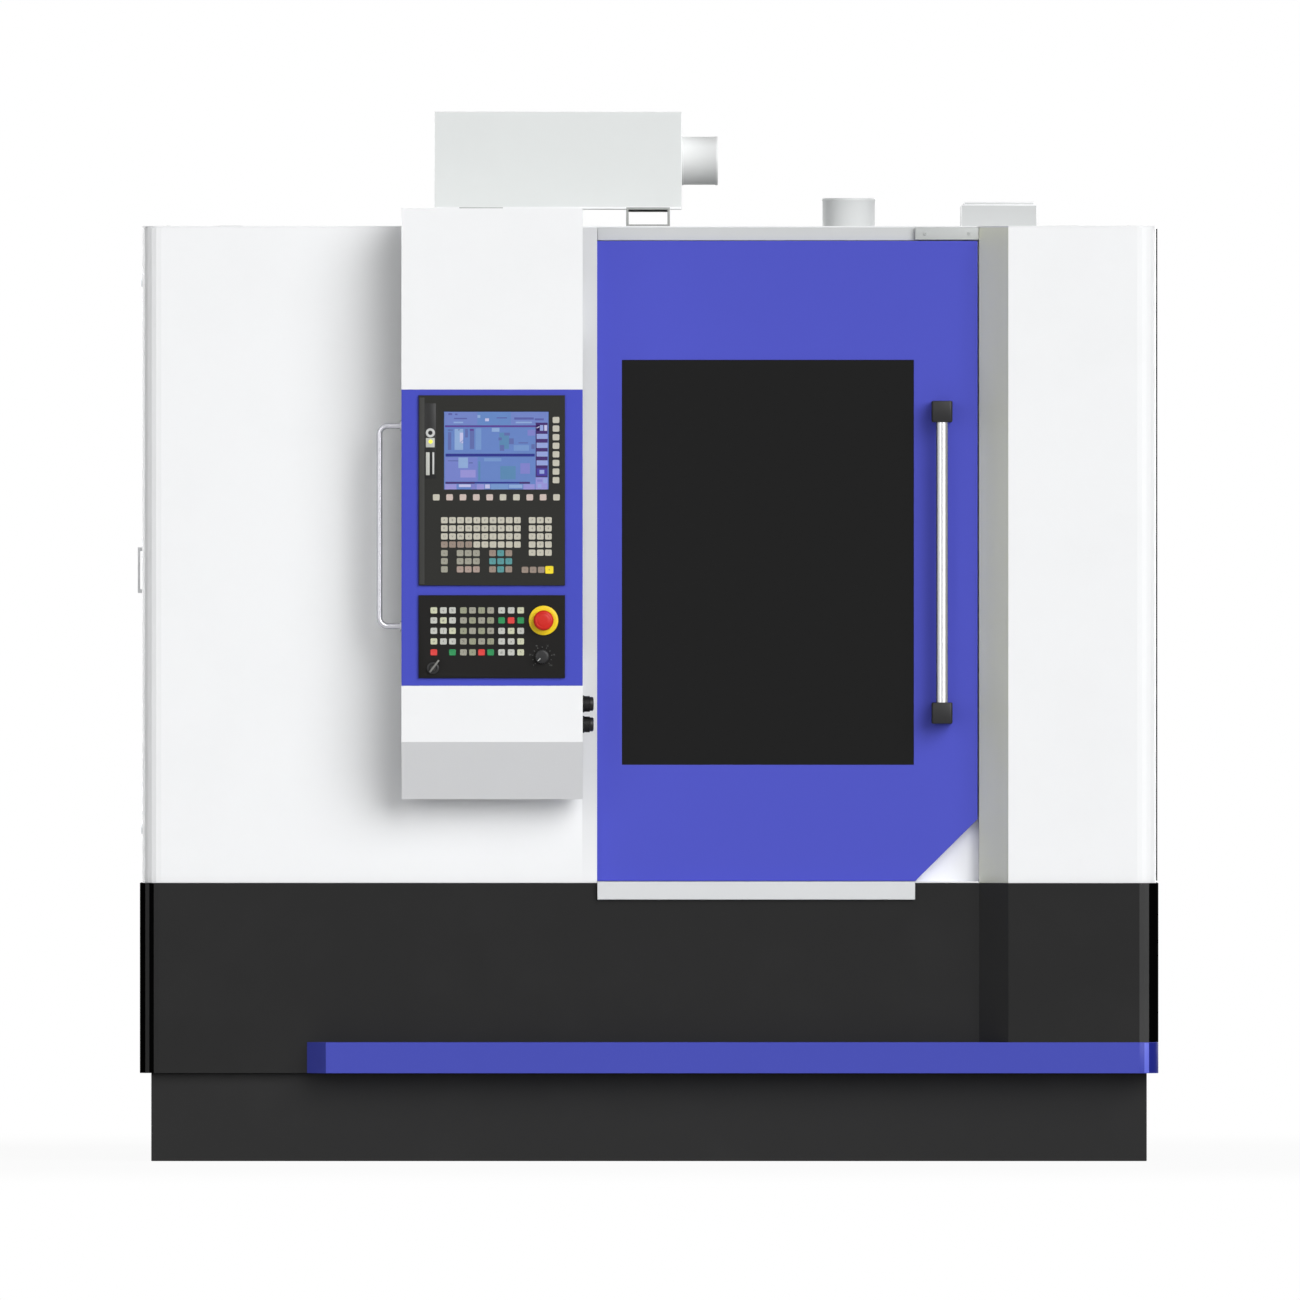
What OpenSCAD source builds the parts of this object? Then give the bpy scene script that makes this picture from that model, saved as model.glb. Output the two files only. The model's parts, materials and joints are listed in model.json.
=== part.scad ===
// Gear hobbing machine with a full enclosure.
// Millimetres. +X is the operator's right, +Y goes to the back, +Z up.
// The origin is on the floor, in the middle of the plinth.

/* [Plinth and bed] */
// Width of the plinth that stands on the floor
plinth_w = 2090; // [1900:10:2120]
// Depth of the plinth
plinth_d = 1766; // [1700:2:1790]
// Height of the plinth
plinth_h = 185; // [150:5:220]
// Thickness of the plinth's walls and ribs
plinth_wall = 25; // [15:1:40]
// Height of the bed casting above the plinth
bed_h = 335; // [300:5:345]
// Front to back width of the bed casting
bed_d = 780; // [740:5:800]
// Wall thickness of the bed casting
bed_wall = 30; // [20:1:45]
// Height of the box ways cast on the bed
way_h = 40; // [30:1:50]
// Distance of the bed's ends from the plinth's sides
bed_inset = 45; // [30:1:60]
// Least distance of the bed's ends from the covers' sides
bed_room = 64; // [50:1:80]

/* [Enclosure sheets] */
// Thickness of the enclosure's folded sheets
sheet_t = 3; // [2:0.5:4]
// Width over the white covers
cover_w = 2128; // [2120:2:2132]
// Height of the enclosure's top above the floor
enclosure_top = 1963; // [1950:1:1990]
// Depth of the enclosure behind the door's front face
enclosure_d = 1766; // [1740:2:1800]
// Radius of the enclosure's upright corners
corner_r = 40; // [25:1:60]
// How far the skirt stands out from the covers at each side
skirt_step = 5; // [4:1:8]
// Height of the skirt's top edge above the floor
skirt_top = 584; // [570:1:586]
// Width of the skirt's top and bottom folds
skirt_fold = 45; // [40:1:55]
// Width of the covers' top folds
cover_fold = 28; // [20:1:32]
// How far the right-hand block stands in front of the left cover
block_step = 60; // [40:1:80]
// Width of the slanted face beside the door
facet_w = 61; // [45:1:80]
// Height of the blue rail round the skirt
rail_h = 65; // [45:1:90]
// Width of the blue rail's slanted left end
rail_end_w = 40; // [20:1:60]
// X of the blue rail's left end
rail_left = -718; // [-800:2:-500]

/* [Door] */
// X of the left cover's edge beside the door
opening_left = -109; // [-115:1:-100]
// X of the slanted face's foot beside the door
opening_right = 693; // [680:1:700]
// X where the fixed post beside the opening begins
post_left = 559; // [540:1:580]
// Thickness of the folded door
door_t = 30; // [25:1:32]
// Thickness of the door's sheet
door_sheet = 2; // [1.5:0.5:3]
// Distance of the door's top edge from the enclosure's top
door_top = 31; // [23:1:63]
// Height of the slanted cut at the door's lower right corner
door_cut = 130; // [60:2:160]
// How far the door reaches behind the left cover
door_lap = 26; // [15:1:30]
// How far the door front lies behind the left cover's front
door_recess = 20; // [18:1:24]
// Width of the window
window_w = 613; // [500:1:620]
// Height of the window
window_h = 850; // [600:5:900]
// Gap between the window and the door's hidden left edge
window_left = 78; // [70:1:100]
// Height of the window's lower edge above the floor
window_bottom = 832; // [780:2:900]
// Thickness of the window pane
pane_t = 6; // [4:1:8]
// Travel of the sliding door
door_travel = 620; // [400:10:620]
// Height of the light sill under the door
sill_h = 38; // [20:1:60]
// Diameter of the door's handle tube
handle_d = 26; // [20:1:32]
// Length of the bare tube between the handle's ends
handle_l = 588; // [400:2:700]
// Height of the handle's middle above the floor
handle_z = 1257; // [1150:1:1300]
// X of the handle's middle
handle_x = 615; // [605:1:625]
// Height of each black end of the handle
handle_end_h = 45; // [35:1:60]
// Width of each black end of the handle
handle_end_w = 44; // [36:1:50]
// Distance from the door to the middle of the handle tube
handle_reach = 42; // [38:1:46]

/* [Operator pendant] */
// Width of the pendant
pendant_w = 380; // [370:2:386]
// X of the pendant's right side
pendant_right = -139; // [-142:1:-136]
// Depth of the pendant
pendant_d = 120; // [105:1:130]
// Height of the pendant's lowest edge above the floor
pendant_bottom = 760; // [720:2:800]
// Height of the pendant
pendant_h = 1239; // [1200:1:1280]
// Thickness of the pendant's sheet
pendant_sheet = 2.5; // [2:0.5:4]
// Height of the slanted foot of the pendant
bevel_h = 120; // [60:2:160]
// How far the slanted foot leans back
bevel_d = 70; // [40:1:90]
// Gap between the pendant and the left cover
standoff = 40; // [38:1:46]
// Height of the blue panel's lower edge above the floor
panel_bottom = 998; // [985:1:1010]
// Height of the blue panel
panel_h = 621; // [610:1:640]
// Width of the two black control units
unit_w = 307; // [300:1:320]
// Height of the display unit
display_h = 399; // [390:1:405]
// Height of the machine control unit
control_h = 174; // [168:1:180]
// How far the control units stand out of the blue panel
unit_t = 6; // [4:0.5:10]
// Size of one key, side to side
key_w = 14; // [10:0.5:15]
// Size of one key, top to bottom
key_h = 13; // [10:0.5:14]
// How far the keys stand out
key_t = 1.5; // [1:0.25:3]
// Diameter of the emergency stop's yellow collar
collar_d = 62; // [50:1:66]
// Diameter of the emergency stop's red head
stop_d = 42; // [34:1:44]
// Travel of the emergency stop
stop_travel = 6; // [3:0.5:8]
// Diameter of the override knob
knob_d = 30; // [24:1:34]
// Diameter of the grab handle's rod
grab_d = 12; // [10:0.5:16]
// How far the grab handle reaches from the pendant
grab_reach = 46; // [40:1:60]
// Length of the grab handle
grab_l = 432; // [300:2:500]
// Diameter of the two service plugs
plug_d = 36; // [30:1:40]
// Diameter of the pendant's hinge pins
hinge_d = 16; // [12:1:20]

/* [Roof parts] */
// X of the mist collector's left side
collector_left = -451; // [-480:1:-420]
// Y of the mist collector's front
collector_front = -700; // [-740:5:-640]
// Width of the mist collector
collector_w = 520; // [440:2:560]
// Depth of the mist collector
collector_d = 620; // [500:5:800]
// Height of the mist collector
collector_h = 201; // [160:1:240]
// Diameter of the collector's inlet
inlet_d = 103; // [80:1:125]
// Length of the collector's inlet
inlet_l = 76; // [50:1:100]
// Width of the rectangular tubes under the collector
runner_w = 92; // [60:1:110]
// Height of the rectangular tubes under the collector
runner_h = 41; // [30:1:60]
// Wall of the rectangular tubes under the collector
runner_wall = 5; // [3:0.5:8]
// X of the extraction spigot on the roof
spigot_x = 422; // [400:1:440]
// Y of the extraction spigot on the roof
spigot_y = -100; // [-140:5:-60]
// Diameter of the extraction spigot on the roof
spigot_d = 113; // [90:1:130]
// Height of the extraction spigot
spigot_h = 65; // [50:1:90]
// X of the cable duct's left side
duct_left = 657; // [640:1:670]
// Y of the cable duct's front
duct_front = -600; // [-640:5:-560]
// Length of the cable duct on the roof
duct_l = 350; // [300:5:400]
// Width of the cable duct on the roof
duct_w = 160; // [120:1:170]
// Height of the cable duct on the roof
duct_h = 53; // [40:1:70]

/* [Work table] */
// X of the table's axis
table_x = 227; // [220:1:235]
// Y of the table's axis and of the hob head's middle
table_y = -350; // [-360:1:-340]
// Diameter of the table
table_d = 520; // [460:2:540]
// Thickness of the table
table_t = 60; // [45:1:65]
// Height of the table housing
housing_h = 240; // [220:1:243]
// Diameter of the table housing
housing_d = 600; // [560:2:620]
// Diameter of the table's spindle
spindle_d = 160; // [140:1:200]
// Diameter of the table's through bore
bore_d = 100; // [80:1:120]
// Diameter of the circle of clamping holes
clamp_pcd = 400; // [340:2:430]
// Diameter of each clamping hole
clamp_hole = 16; // [12:1:20]
// Number of clamping holes
clamp_count = 8; // [4:1:12]

/* [Column and hob head] */
// Distance of the column's left side from the bed's left end
column_left = 80; // [75:1:90]
// Width of the column, along the radial feed
column_w = 500; // [460:2:520]
// Depth of the column
column_d = 500; // [480:2:520]
// Distance of the column's top from the enclosure's top
column_top = 323; // [303:2:343]
// Wall thickness of the column castings
column_wall = 28; // [20:1:40]
// Height of the hob axis above the floor at rest
hob_z = 1280; // [1275:1:1290]
// Height of the axial slide
slide_h = 420; // [400:2:440]
// Thickness of the axial slide
slide_t = 70; // [60:1:75]
// Diameter of the hob head's swivel disc
disc_d = 380; // [340:2:400]
// Diameter of the hob
hob_d = 120; // [90:1:130]
// Length of the hob
hob_l = 160; // [120:2:170]
// Diameter of the hob arbor
arbor_d = 40; // [32:1:50]
// Number of gashes in the hob
hob_gashes = 10; // [8:1:14]
// Number of tooth rows along the hob
hob_rows = 7; // [5:1:9]
// Diameter of the feed screws
screw_d = 26; // [20:1:28]
// Length of the hob spindle's motor housing behind the hob's middle
spindle_rear = 300; // [260:5:305]
// Reach of the hob's front bearing from the hob's middle
spindle_front = 220; // [180:5:240]

/* [Tailstock] */
// Width of the tailstock column
tail_w = 240; // [220:2:250]
// Depth of the tailstock column
tail_d = 420; // [380:2:440]
// Distance of the tailstock column's top from the enclosure's top
tail_top = 213; // [183:5:263]
// Height of the tailstock arm's middle above the floor
arm_z = 1450; // [1440:1:1460]
// Height of the tailstock arm
arm_h = 100; // [80:1:110]
// Diameter of the live centre
centre_d = 40; // [30:1:50]

/* [Rear parts] */
// Width of the electric cabinet
cabinet_w = 1160; // [1000:10:1180]
// Depth of the electric cabinet
cabinet_d = 420; // [350:5:500]
// Height of the electric cabinet
cabinet_h = 1285; // [1100:5:1300]
// Distance of the cabinet's left side from the covers' left side
cabinet_left = 64; // [64:1:104]
// Thickness of the cabinet's doors
cabinet_door_t = 20; // [16:1:30]
// Width of the chip conveyor
conveyor_w = 300; // [240:2:320]
// Distance of the conveyor's left side from the bed's right end
conveyor_left = 580; // [560:5:600]
// Height of the conveyor's discharge end above the floor
conveyor_top = 1000; // [900:5:1100]

/* [Hidden] */

$fn = 48;
gap = 0.5;          // clearance between sheets that only meet
seat = 0.3;         // running clearance between flat ways
run_fit = 0.05;     // radial clearance of shafts and pins in their bores
eps = 1;            // overshoot of cuts
corner_steps = 6;   // flats round an upright corner

// Heights
bed_top = plinth_h + bed_h;
way_top = bed_top + way_h;
roof_under = enclosure_top - sheet_t;
door_top_z = enclosure_top - door_top;
column_top_z = enclosure_top - column_top;
tail_top_z = enclosure_top - tail_top;
rail_top = plinth_h + rail_h;

// Planes along Y, front to back
door_front = 3 - plinth_d / 2;
door_back = door_front + door_t;
post_front = door_back + 5;
lintel_front = door_front + 8;
cover_front = door_front - door_recess;
block_front = cover_front - block_step;
skirt_front = cover_front - skirt_step - 1;
skirt_block_front = block_front - skirt_step - 1;
cover_rear = door_front + enclosure_d;
skirt_rear = cover_rear + 2 * sheet_t;

// Half widths, and depth of the slanted faces
cover_hw = cover_w / 2;
skirt_hw = cover_hw + skirt_step;
facet_d = door_front - block_front;
skirt_facet_d = skirt_front - skirt_block_front;

// ---------- helpers ----------

// Box from three [low, high] pairs
module block(x, y, z) {
  translate([x[0], y[0], z[0]]) cube([x[1] - x[0], y[1] - y[0], z[1] - z[0]]);
}

// Cylinder along X or Y, at [the other two coordinates]
module bar_x(x, r, at) {
  translate([x[0], at[0], at[1]]) rotate([0, 90, 0]) cylinder(r = r, h = x[1] - x[0]);
}
module bar_y(y, r, at) {
  translate([at[0], y[0], at[1]]) rotate([-90, 0, 0]) cylinder(r = r, h = y[1] - y[0]);
}

// Shape in X and Z, pushed from front to back
module upright(y) {
  translate([0, y[1], 0]) rotate([90, 0, 0]) linear_extrude(y[1] - y[0]) children();
}

// Shape in Y and Z, pushed from left to right
module side_profile(x) {
  translate([x[0], 0, 0]) rotate([90, 0, 90]) linear_extrude(x[1] - x[0]) children();
}

function arc_points(centre, r, from, to) =
  [for (i = [0:corner_steps]) let (a = from + (to - from) * i / corner_steps)
    centre + r * [cos(a), sin(a)]];

function reversed(list) = [for (i = [len(list) - 1:-1:0]) list[i]];

// Ends of a slanted face from [x, y], w to the right and d to the front,
// moved inwards by i. It follows a return that runs to the back.
function slant_after_return(x, y, w, d, i) =
  let (l = norm([w, d]))
  [[x + i, y + i * (l - d) / w], [x + w + i * (l - w) / d, y - d + i]];

// The same for a face that follows a flat front
function slant_after_front(x, y, w, d, i) =
  let (s = i * (norm([w, d]) - w) / d)
  [[x + s, y + i], [x + w + s, y - d + i]];

// Sheet seen from above, between an outer and an inner line
module folded(outer, inner, z) {
  translate([0, 0, z[0]]) linear_extrude(z[1] - z[0]) polygon(concat(outer, reversed(inner)));
}

// Round corner of a sheet, moved inwards by i: at is its sharp outer corner
// and way points inwards from there
function corner_line(at, way, i, from, to) = i < corner_r
  ? arc_points(at + way * corner_r, corner_r - i, from, to)
  : [at + way * i];
function front_left(hw, y, i) = corner_line([-hw, y], [1, 1], i, 180, 270);
function rear_left(hw, y, i) = corner_line([-hw, y], [1, -1], i, 90, 180);
function rear_right(hw, y, i) = corner_line([hw, y], [-1, -1], i, 0, 90);
function front_right(hw, y, i) = corner_line([hw, y], [-1, 1], i, 270, 360);

// Fixed half of a hinge: a lug with a pin, joined to a plate face at plate_y
module hinge_lug(at, z, r_pin, r_lug, h, plate_y) {
  translate([at[0], at[1], z - h]) cylinder(r = r_lug, h = h);
  translate([at[0], at[1], z - eps]) cylinder(r = r_pin, h = h + eps);
  block([at[0] - r_lug, at[0] + r_lug], [min(at[1], plate_y), max(at[1], plate_y)], [z - h, z]);
}

// Moving half: a knuckle on the pin, joined to a plate by an arm
module hinge_knuckle(at, z, r_pin, r_lug, h, arm_x, arm_y) {
  difference() {
    union() {
      translate([at[0], at[1], z + seat]) cylinder(r = r_lug, h = h);
      block(arm_x, arm_y, [z + seat, z + seat + h]);
    }
    translate([at[0], at[1], z]) cylinder(r = r_pin + run_fit, h = h + 2 * eps);
  }
}

// ---------- plinth and bed ----------

plinth_bays = [4, 2];

module plinth() {
  bay = [(plinth_w - (plinth_bays[0] + 1) * plinth_wall) / plinth_bays[0],
         (plinth_d - (plinth_bays[1] + 1) * plinth_wall) / plinth_bays[1]];
  color("#303030") difference() {
    block([-plinth_w / 2, plinth_w / 2], [-plinth_d / 2, plinth_d / 2], [0, plinth_h]);
    for (i = [0:plinth_bays[0] - 1], j = [0:plinth_bays[1] - 1])
      translate([plinth_wall - plinth_w / 2 + i * (bay[0] + plinth_wall),
                 plinth_wall - plinth_d / 2 + j * (bay[1] + plinth_wall), plinth_wall])
        cube([bay[0], bay[1], plinth_h - 2 * plinth_wall]);
  }
}

bed_hw = min(plinth_w / 2 - bed_inset, cover_hw - bed_room);
bed_x = [-bed_hw, bed_hw];
bed_back = 20;      // how far the bed's middle lies behind the table's axis
bed_y = [table_y - bed_d / 2 + bed_back, table_y + bed_d / 2 + bed_back];
bed_bays = 5;
way_in = 10;        // distance of the ways from the bed's left end
way_room = 100;     // distance of the ways from the table housing
way_x = [bed_x[0] + way_in, table_x - housing_d / 2 - way_room];
way_w = 70;
way_off = 205;      // from the table's centre plane to each way's inner face
screw_r = screw_d / 2;
screw_z = bed_top + way_h / 2;
bearing_w = 38;     // length of each screw bearing along the screw
bearing_hw = 40;    // half width of each screw bearing
bearing_low = 2;    // how far the bearings stay below the ways

module machine_bed() {
  bay_w = (bed_x[1] - bed_x[0] - (bed_bays + 1) * bed_wall) / bed_bays;
  color("#8d9394") difference() {
    union() {
      block(bed_x, bed_y, [plinth_h, bed_top]);
      for (s = [-1, 1])
        block(way_x, [table_y + min(s * way_off, s * (way_off + way_w)),
                      table_y + max(s * way_off, s * (way_off + way_w))],
              [bed_top - eps, way_top]);
      for (x = [[bed_x[0], way_x[0] + bearing_w], [way_x[1] - bearing_w, way_x[1]]])
        block(x, [table_y - bearing_hw, table_y + bearing_hw],
              [bed_top - eps, way_top - bearing_low]);
    }
    for (i = [0:bed_bays - 1])
      translate([bed_x[0] + bed_wall + i * (bay_w + bed_wall), bed_y[0] + bed_wall,
                 plinth_h + bed_wall])
        cube([bay_w, bed_d - 2 * bed_wall, bed_h - 2 * bed_wall]);
    bar_x([bed_x[0] - eps, way_x[1] + eps], screw_r + run_fit, [table_y, screw_z]);
  }
}

// ---------- lower skirt and blue rail ----------

rail_side = 20;      // thickness of the blue rail along the right side

function skirt_line(i) = concat(
  slant_after_front(opening_right, skirt_front, facet_w, skirt_facet_d, i),
  front_right(skirt_hw, skirt_block_front, i), rear_right(skirt_hw, skirt_rear, i),
  rear_left(skirt_hw, skirt_rear, i), front_left(skirt_hw, skirt_front, i));

function skirt_foot_line(i) = concat(
  [[skirt_hw - rail_side - i, skirt_front + i]],
  rear_right(skirt_hw - rail_side, skirt_rear, i),
  rear_left(skirt_hw, skirt_rear, i), front_left(skirt_hw, skirt_front, i));

module skirt_slab(line, z) {
  translate([0, 0, z[0]]) linear_extrude(z[1] - z[0]) polygon(line);
}

conveyor_x = [bed_x[1] - conveyor_left, bed_x[1] - conveyor_left + conveyor_w];
conveyor_low = 15;      // height of the conveyor's floor above the plinth
conveyor_h = 200;       // height of the conveyor's flat part
conveyor_z = [plinth_h + conveyor_low, plinth_h + conveyor_low + conveyor_h];
conveyor_gap = 5;

module lower_skirt() {
  color("#303030") difference() {
    union() {
      difference() {
        skirt_slab(skirt_line(0), [rail_top, skirt_top]);
        skirt_slab(skirt_line(sheet_t), [rail_top - eps, skirt_top - sheet_t]);
        skirt_slab(skirt_line(skirt_fold), [rail_top, skirt_top + eps]);
      }
      difference() {
        skirt_slab(skirt_line(0), [rail_top, rail_top + sheet_t]);
        skirt_slab(skirt_foot_line(sheet_t), [rail_top - eps, rail_top + sheet_t + eps]);
      }
      difference() {
        skirt_slab(skirt_foot_line(0), [plinth_h, rail_top + sheet_t]);
        skirt_slab(skirt_foot_line(sheet_t), [plinth_h + sheet_t, rail_top + sheet_t + eps]);
        skirt_slab(skirt_foot_line(skirt_fold), [plinth_h - eps, rail_top]);
      }
    }
    block([conveyor_x[0] - conveyor_gap, conveyor_x[1] + conveyor_gap],
          [skirt_rear - skirt_fold, skirt_rear + eps],
          [conveyor_z[0] - conveyor_gap, conveyor_z[1] + conveyor_gap]);
    // joints of the rear sheet
    for (x = [skirt_fold - skirt_hw, skirt_hw - rail_side - skirt_fold])
      block([x, x + gap], [skirt_rear - skirt_fold - eps, skirt_rear + eps],
            [plinth_h - eps, skirt_top + eps]);
  }
}

// Hollow rail round the skirt's foot
module blue_rail() {
  depth = skirt_front - skirt_block_front;
  l = norm([rail_end_w, depth]);
  z = [plinth_h, rail_top];
  rear = skirt_rear - corner_r;
  color("#4a51b6") difference() {
    skirt_slab(concat(
      slant_after_front(rail_left, skirt_front, rail_end_w, depth, 0),
      front_right(skirt_hw, skirt_block_front, 0),
      [[skirt_hw, rear], [skirt_hw - rail_side, rear], [skirt_hw - rail_side, skirt_front]]), z);
    skirt_slab(concat(
      [[rail_left + sheet_t * l / depth, skirt_front + eps]],
      [slant_after_front(rail_left, skirt_front, rail_end_w, depth, sheet_t)[1]],
      front_right(skirt_hw, skirt_block_front, sheet_t),
      [[skirt_hw - sheet_t, rear - sheet_t], [skirt_hw - rail_side - eps, rear - sheet_t],
       [skirt_hw - rail_side - eps, skirt_front + eps]]), [z[0] + sheet_t, z[1] - sheet_t]);
  }
}

// ---------- covers ----------

cover_return = door_recess - 2;     // how far the left cover is folded back beside the door
hinge_r = hinge_d / 2;
bow_z = 1241;                       // middle of the bow handle on the left side
bow_h = 96;
bow_out = 11;
bow_t = 5;
bow_foot = 8;
bow_y = [cover_front + 194, cover_front + 206];

function left_line(i) = concat([[opening_left - i, cover_front + i]],
  reversed(front_left(cover_hw, cover_front, i)), reversed(rear_left(cover_hw, cover_rear, i)));

function right_line(i) = concat(
  slant_after_return(opening_right, door_front, facet_w, facet_d, i),
  front_right(cover_hw, block_front, i), rear_right(cover_hw, cover_rear, i));

module cover_sheets(line_out, line_in, line_fold) {
  folded(line_out, line_in, [skirt_top, roof_under]);
  folded(line_out, line_fold, [roof_under - sheet_t, roof_under]);
}

module left_cover() {
  color("#f5f6f8") {
    cover_sheets(
      concat([[opening_left, cover_front + cover_return]], left_line(0)),
      concat([[opening_left - sheet_t, cover_front + cover_return]], left_line(sheet_t)),
      left_line(cover_fold));
    // bow handle of the side hatch
    block([-cover_hw - bow_out, -cover_hw - bow_out + bow_t], bow_y,
          [bow_z - bow_h / 2, bow_z + bow_h / 2]);
    for (z = [bow_z - bow_h / 2, bow_z + bow_h / 2 - bow_foot])
      block([-cover_hw - bow_out, -cover_hw + eps], bow_y, [z, z + bow_foot]);
  }
}

module right_cover() {
  color("#f5f6f8") cover_sheets(
    concat([[opening_right, post_front + sheet_t]], right_line(0)),
    concat([[opening_right + sheet_t, post_front + sheet_t]], right_line(sheet_t)),
    concat([[opening_right + cover_fold, post_front]], right_line(cover_fold)));
}

// Rear sheet with the electric cabinet's opening and its doors' lugs
cabinet_x = [cabinet_left - cover_hw, cabinet_left - cover_hw + cabinet_w];
cabinet_lift = 16;      // height of the cabinet above the skirt
cabinet_room = 20;      // least gap between the cabinet and the roof
cabinet_z = [skirt_top + cabinet_lift,
             min(skirt_top + cabinet_lift + cabinet_h, roof_under - cabinet_room)];
cabinet_y = [cover_rear - sheet_t - cabinet_d, cover_rear - sheet_t];
cabinet_rim = 22;
cabinet_lug_r = 8;
cabinet_pin_r = 4;
cabinet_lug_h = 60;
door_axis_y = cover_rear + seat + cabinet_door_t / 2;
cabinet_axes = [cabinet_x[0] - cabinet_lug_r, cabinet_x[1] + cabinet_lug_r];
hinge_in = 170;         // distance of the hinges from the leaves' ends
cabinet_hinge_z = [cabinet_z[0] + hinge_in, cabinet_z[1] - hinge_in];

module rear_cover() {
  half = cover_hw - corner_r - gap;
  color("#f5f6f8") {
    difference() {
      union() {
        block([-half, half], [cover_rear - sheet_t, cover_rear], [skirt_top, roof_under]);
        block([-half, half], [cover_rear - cover_fold, cover_rear],
              [roof_under - sheet_t, roof_under]);
      }
      block([cabinet_x[0] + cabinet_rim, cabinet_x[1] - cabinet_rim],
            [cover_rear - sheet_t - eps, cover_rear + eps],
            [cabinet_z[0] + cabinet_rim, cabinet_z[1] - cabinet_rim]);
    }
    for (x = cabinet_axes, z = cabinet_hinge_z)
      hinge_lug([x, door_axis_y], z, cabinet_pin_r, cabinet_lug_r, cabinet_lug_h, cover_rear);
  }
}

spigot_at = [spigot_x, spigot_y];
spigot_r = spigot_d / 2;
duct_wall = 2;

module roof_panel() {
  color("#eef0f1") difference() {
    skirt_slab(concat(
      [[opening_left, lintel_front], [opening_right, lintel_front]],
      right_line(0), rear_left(cover_hw, cover_rear, 0),
      front_left(cover_hw, cover_front, 0), [[opening_left, cover_front]]),
      [roof_under, enclosure_top]);
    translate([spigot_at[0], spigot_at[1], roof_under - eps])
      cylinder(r = spigot_r - duct_wall, h = sheet_t + 2 * eps);
  }
}

// ---------- door surround ----------

module door_lintel() {
  x = [opening_left + gap, opening_right - gap];
  color("#cfd1d0") {
    block(x, [lintel_front, lintel_front + sheet_t], [door_top_z + eps, roof_under]);
    block(x, [lintel_front, post_front], [door_top_z + eps, door_top_z + eps + sheet_t]);
    block(x, [lintel_front, post_front], [roof_under - sheet_t, roof_under]);
  }
}

module door_post() {
  x = [post_left, opening_right - gap];
  flange = 60;
  top = rail_foot_z - 30;       // the post ends below the carriages
  color("#e4e6e6") {
    block(x, [post_front, post_front + sheet_t], [skirt_top, top]);
    block([x[0], x[0] + sheet_t], [post_front, post_front + flange], [skirt_top, top]);
    block([x[1] - sheet_t, x[1]], [post_front, post_front + flange], [skirt_top, top]);
    block(x, [skirt_front + 5, post_front + sheet_t], [skirt_top, skirt_top + sheet_t]);
    // hanger arms up to the roof, behind the rail
    for (a = [x[0], x[1] - sheet_t])
      block([a, a + sheet_t], [post_front + 50, post_front + flange], [top - eps, roof_under]);
  }
}

door_bottom = skirt_top + 4;
guide_t = 5;
guide_h = 11;
guide_y = (door_front + door_back) / 2;

module door_sill() {
  x = [opening_left + gap, post_left - gap];
  top = skirt_top + sheet_t;
  front = skirt_front - 9;
  color("#dcdedd") {
    block(x, [front, front + sheet_t], [top - sill_h, top]);
    block(x, [front, skirt_front], [top - sill_h, top - sill_h + sheet_t]);
    block(x, [front, post_front], [skirt_top, top]);
    block(x, [guide_y - guide_t / 2, guide_y + guide_t / 2], [top - eps, top + guide_h]);
  }
}

rail_web = 8;
rail_flange = [28, 18];           // width and height of the rail's foot
rail_y = door_back + 24;
rail_drop = 58;                   // how far the rail's foot hangs below the door's top
rail_foot_z = door_top_z - rail_drop;
hang_x = [-60, 500];              // left ends of the two carriages
hang_w = 70;

module door_top_rail() {
  x = [opening_left + hang_x[0] - door_travel + 20, opening_right - 6];
  color("#9aa0a2") {
    block(x, [rail_y - rail_web / 2, rail_y + rail_web / 2], [rail_foot_z, roof_under]);
    block(x, [rail_y - rail_flange[0] / 2, rail_y + rail_flange[0] / 2],
          [rail_foot_z, rail_foot_z + rail_flange[1]]);
  }
}

// ---------- sliding door ----------

door_x = [opening_left - door_lap, opening_right - 3];
window_x = [door_x[0] + window_left, door_x[0] + window_left + window_w];
window_z = [window_bottom, window_bottom + window_h];
rebate = 16;
groove_w = guide_t + 4;

// Outline of the door with its cut corner, moved inwards by i
module door_outline(i) {
  cut_x = post_left;
  slope = door_cut / (door_x[1] - cut_x);
  s = i * (norm([1, slope]) - 1) / slope;
  polygon([[door_x[0] + i, door_bottom + i], [cut_x - s, door_bottom + i],
           [door_x[1] - i, door_bottom + door_cut + i * (norm([1, slope]) - slope)],
           [door_x[1] - i, door_top_z - i], [door_x[0] + i, door_top_z - i]]);
}

module door_panel() {
  rim = rebate + 4;
  color("#5257c5") difference() {
    union() {
      difference() {
        upright([door_front, door_back]) door_outline(0);
        upright([door_front + door_sheet, door_back - door_sheet]) door_outline(door_sheet);
        upright([door_back - door_sheet - eps, door_back + eps]) door_outline(26);
      }
      // surround of the window
      block([window_x[0] - rim, window_x[1] + rim], [door_front + eps, door_back],
            [window_z[0] - rim, window_z[1] + rim]);
      // channel that runs over the sill's guide
      block([door_x[0] + eps, post_left - 5], [guide_y - groove_w, guide_y + groove_w],
            [door_bottom, door_bottom + guide_h + 8]);
      // plates that the carriages are screwed to
      for (x = hang_x)
        block([x - 10, x + hang_w + 10], [door_back - door_sheet, door_back],
              [rail_foot_z - 26, door_top_z - eps]);
    }
    block(window_x, [door_front - eps, door_back + eps], window_z);
    block([window_x[0] - rebate, window_x[1] + rebate], [door_front + door_sheet, door_back + eps],
          [window_z[0] - rebate, window_z[1] + rebate]);
    block([door_x[0] - eps, post_left + 20],
          [guide_y - groove_w / 2, guide_y + groove_w / 2],
          [door_bottom - eps, door_bottom + guide_h + 4]);
  }
}

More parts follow.
